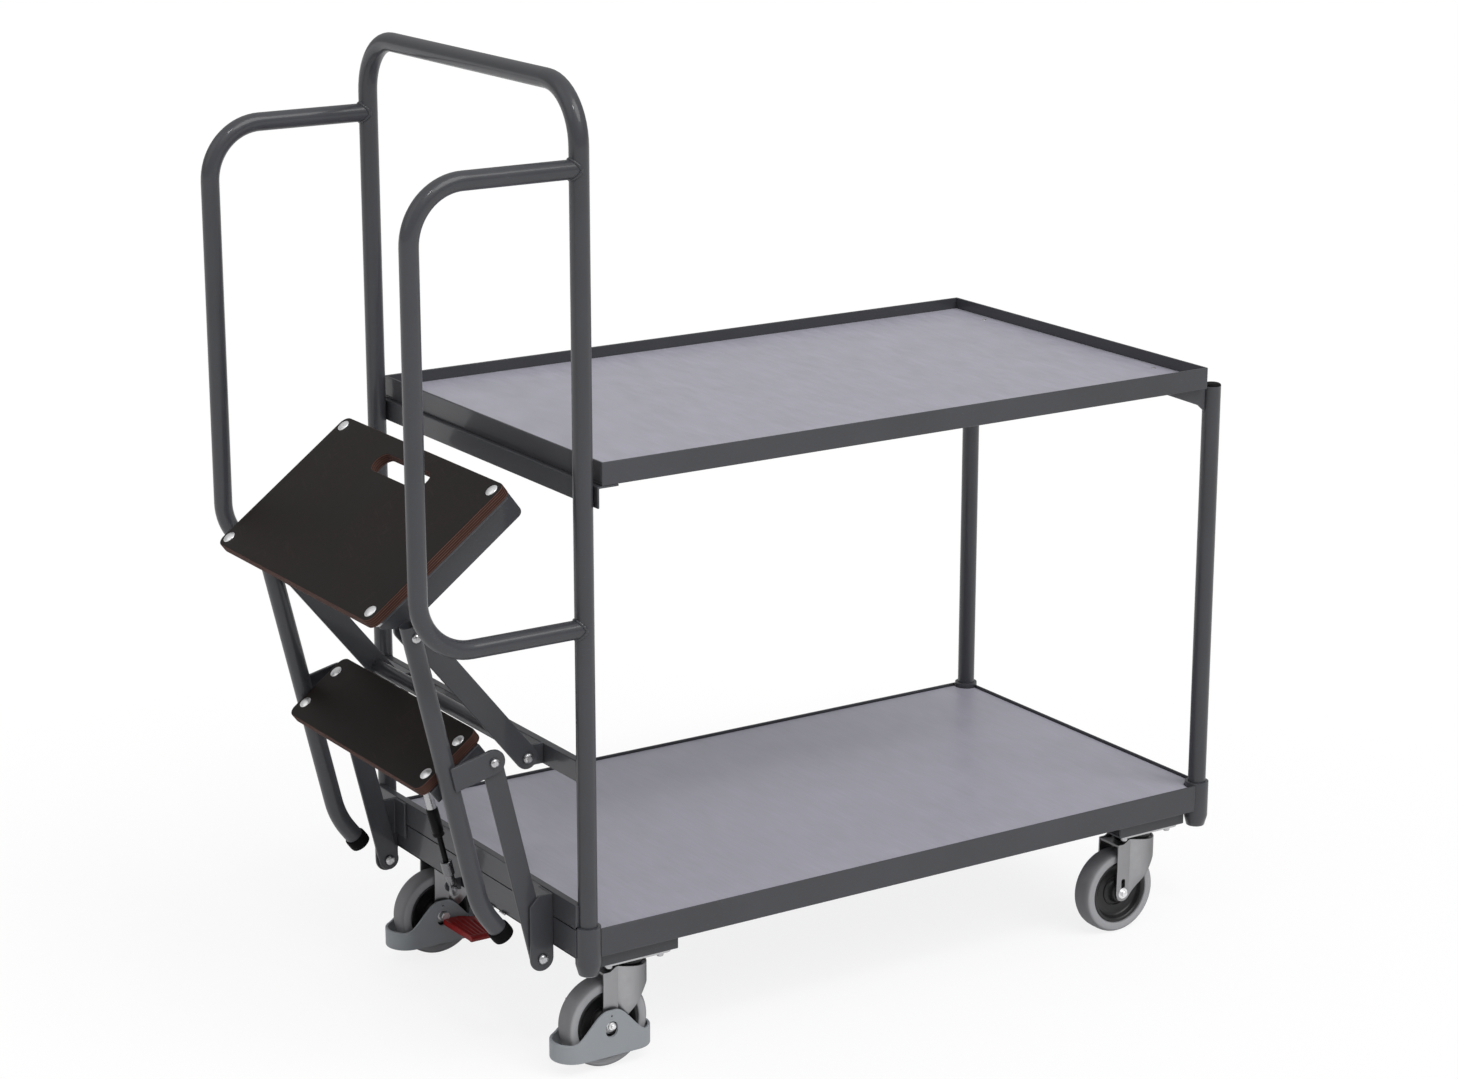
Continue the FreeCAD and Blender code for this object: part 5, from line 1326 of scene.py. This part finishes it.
class TROLLEY_OT_welds(TrolleyOperator, bpy.types.Operator):
    """Lay weld beads where tubes and bars meet the posts"""

    bl_idname = "trolley.welds"
    bl_label = "Welds"

    sharp = 80

    def execute(self, context):
        self.rail_welds()
        self.bar_welds()
        self.beam_welds()
        return {"FINISHED"}

    def rail_welds(self):
        """Beads where the handrails' tubes meet the round posts."""
        steps = 72
        shape = bmesh.new()
        for side in SIDES:
            for level in RAIL_LEVELS:
                points = []
                for step in range(steps):
                    turn = 2 * math.pi * step / steps
                    across, up = RAIL_TUBE * math.sin(turn), RAIL_TUBE * math.cos(turn)
                    out = math.sqrt(TUBE**2 - across**2)
                    points.append(Vector((POST_X - out, side * POST_Y + across, level + up)))
                self.bead(shape, points, closed=True)
        add_piece("rail_welds", shape, "paint", sharp=self.sharp)

    def bar_welds(self):
        """Upright beads at the middle cross bar's ends."""
        low, height, apart, inset, steps = 0.4205, 0.028, 0.006, 0.0015, 20
        shape = bmesh.new()
        for side in SIDES:
            y = side * (POST_Y - TUBE) + side * inset
            for x in (-apart, apart):
                levels = [low + height * step / steps for step in range(steps + 1)]
                self.bead(shape, [Vector((POST_X + x, y, level)) for level in levels], closed=False)
        add_piece("bar_welds", shape, "paint", sharp=self.sharp)

    def beam_welds(self):
        """Two short bare beads on the base's end beam."""
        run, level, size, steps = 0.014, 0.1816, 0.6, 16
        shape = bmesh.new()
        for x, y in ((-0.4100, -0.0565), (-0.4110, -0.0890)):
            line = [Vector((x, y - run / 2 + run * step / steps, level)) for step in range(steps + 1)]
            self.bead(shape, line, closed=False, size=size)
        add_piece("beam_welds", shape, "steel", sharp=self.sharp)

    def bead(self, shape, points, closed, size=1.0):
        """A rippled bead along points."""
        radius = forms().bead * size
        ripple, ripple_length, wander, wander_scale = 0.13, 0.0042, 0.16, 140
        radii = []
        run = 0.0
        for index, point in enumerate(points):
            run += (point - points[index - 1]).length if index else 0
            wave = ripple * math.sin(run * 2 * math.pi / ripple_length)
            radii.append(radius * (1 + wave + wander * noise.noise(point * wander_scale)))
        sweep(shape, points, radii, sides=10, closed=closed)


class TROLLEY_OT_stage(TrolleyOperator, bpy.types.Operator):
    """Set the floor, the soft lights and the camera"""

    bl_idname = "trolley.stage"
    bl_label = "Stage"

    floor_radius, floor_white, floor_mirrored, lamp_distance = 40, 0.84, 0.4, 5
    camera_at, camera_tilt, camera_turn = (-2.5184, -3.8932, 1.9175), 74.42, -33.042

    def execute(self, context):
        scene = context.scene
        values = scene.trolley_stage
        scene.view_settings.view_transform = "Standard"
        self.floor(values)
        self.world(scene, values)
        self.lamp("key_light", values.key, towards=(0.20, -0.64, 0.74), spread_angle=38)
        self.lamp("fill_light", values.fill, towards=(-0.80, 0.10, 0.60), spread_angle=50)
        self.lamp("glint_light", values.glint, towards=(-0.25, -0.55, 0.80), spread_angle=7)
        lens = bpy.data.cameras.new("camera")
        lens.sensor_fit = "HORIZONTAL"
        lens.sensor_width = 36
        lens.lens = values.lens
        camera = bpy.data.objects.new("camera", lens)
        scene.collection.objects.link(camera)
        camera.location = self.camera_at
        camera.rotation_euler = (math.radians(self.camera_tilt), 0, math.radians(self.camera_turn))
        scene.camera = camera
        return {"FINISHED"}

    def floor(self, values):
        """A pale floor that takes soft shadows and is nearly white to the camera."""
        shape = bmesh.new()
        bmesh.ops.create_circle(shape, cap_ends=True, radius=self.floor_radius, segments=64)
        floor = bpy.data.objects.new("floor", skin(shape, "floor"))
        bpy.context.scene.collection.objects.link(floor)
        material = bpy.data.materials.new("Pale floor")
        material.use_nodes = True
        tree = material.node_tree
        tree.nodes.clear()
        lit = place(tree, "ShaderNodeBsdfDiffuse", {"Color": (*values.floor, 1)})
        white = place(tree, "ShaderNodeEmission", {"Color": (1, 1, 1, 1), "Strength": 1.0})
        share = reckon(tree, "MULTIPLY", self.seen(tree), self.floor_white)
        mixed = place(tree, "ShaderNodeMixShader", {0: share, 1: lit.outputs[0], 2: white.outputs[0]})
        place(tree, "ShaderNodeOutputMaterial", {"Surface": mixed.outputs[0]})
        floor.data.materials.append(material)

    def seen(self, tree):
        """One for rays from the camera or through glass, and less for rays off metal."""
        path = place(tree, "ShaderNodeLightPath").outputs
        mirrored = reckon(tree, "MULTIPLY", path["Is Glossy Ray"], self.floor_mirrored)
        total = reckon(tree, "ADD", path["Is Camera Ray"], mirrored)
        total = reckon(tree, "ADD", total, path["Is Transmission Ray"])
        return reckon(tree, "MINIMUM", total, 1)

    def world(self, scene, values):
        """A studio that is brighter overhead, and white to the camera."""
        world = bpy.data.worlds.new("studio")
        scene.world = world
        world.use_nodes = True
        tree = world.node_tree
        tree.nodes.clear()
        height = part_of(tree, place(tree, "ShaderNodeTexCoord").outputs["Generated"], "Z")
        light = between(tree, height, values.horizon, values.zenith)
        camera_ray = place(tree, "ShaderNodeLightPath").outputs["Is Camera Ray"]
        light = reckon(tree, "MAXIMUM", light, camera_ray)
        sky = place(tree, "ShaderNodeBackground", {"Color": (1, 1, 1, 1), "Strength": light})
        place(tree, "ShaderNodeOutputWorld", {"Surface": sky.outputs[0]})

    def lamp(self, name, energy, towards, spread_angle):
        """A distant soft light, seen under an angle in degrees."""
        light = bpy.data.lights.new(name, "SUN")
        light.angle = math.radians(spread_angle)
        light.energy = energy
        lamp = bpy.data.objects.new(name, light)
        bpy.context.scene.collection.objects.link(lamp)
        lamp.location = Vector(towards) * self.lamp_distance
        lamp.rotation_euler = Vector(towards).to_track_quat("Z", "Y").to_euler()


OPERATORS = (
    TROLLEY_OT_stage,
    TROLLEY_OT_frame,
    TROLLEY_OT_boards,
    TROLLEY_OT_treads,
    TROLLEY_OT_fasteners,
    TROLLEY_OT_casters,
    TROLLEY_OT_guards,
    TROLLEY_OT_spring,
    TROLLEY_OT_rubber,
    TROLLEY_OT_welds,
)


class TROLLEY_PT_panel(bpy.types.Panel):
    """Lists the trolley's pieces and their settings"""

    bl_idname = "TROLLEY_PT_panel"
    bl_label = "Trolley"
    bl_space_type = "VIEW_3D"
    bl_region_type = "UI"
    bl_category = "Trolley"

    def draw(self, context):
        scene = context.scene
        for group in (scene.trolley_finishes, scene.trolley_forms, scene.trolley_stage):
            box = self.layout.box()
            for name in group.__annotations__:
                box.prop(group, name)
        for operator in OPERATORS:
            self.layout.operator(operator.bl_idname)


CLASSES = (TrolleyFinishes, TrolleyForms, TrolleyStage, *OPERATORS, TROLLEY_PT_panel)


def register():
    for item in CLASSES:
        bpy.utils.register_class(item)
    bpy.types.Scene.trolley_finishes = bpy.props.PointerProperty(type=TrolleyFinishes)
    bpy.types.Scene.trolley_forms = bpy.props.PointerProperty(type=TrolleyForms)
    bpy.types.Scene.trolley_stage = bpy.props.PointerProperty(type=TrolleyStage)


def unregister():
    for name in ("trolley_finishes", "trolley_forms", "trolley_stage"):
        delattr(bpy.types.Scene, name)
    for item in reversed(CLASSES):
        bpy.utils.unregister_class(item)


def main():
    register()
    for operator in OPERATORS:
        group, name = operator.bl_idname.split(".")
        getattr(getattr(bpy.ops, group), name)()


if __name__ == "__main__":
    main()
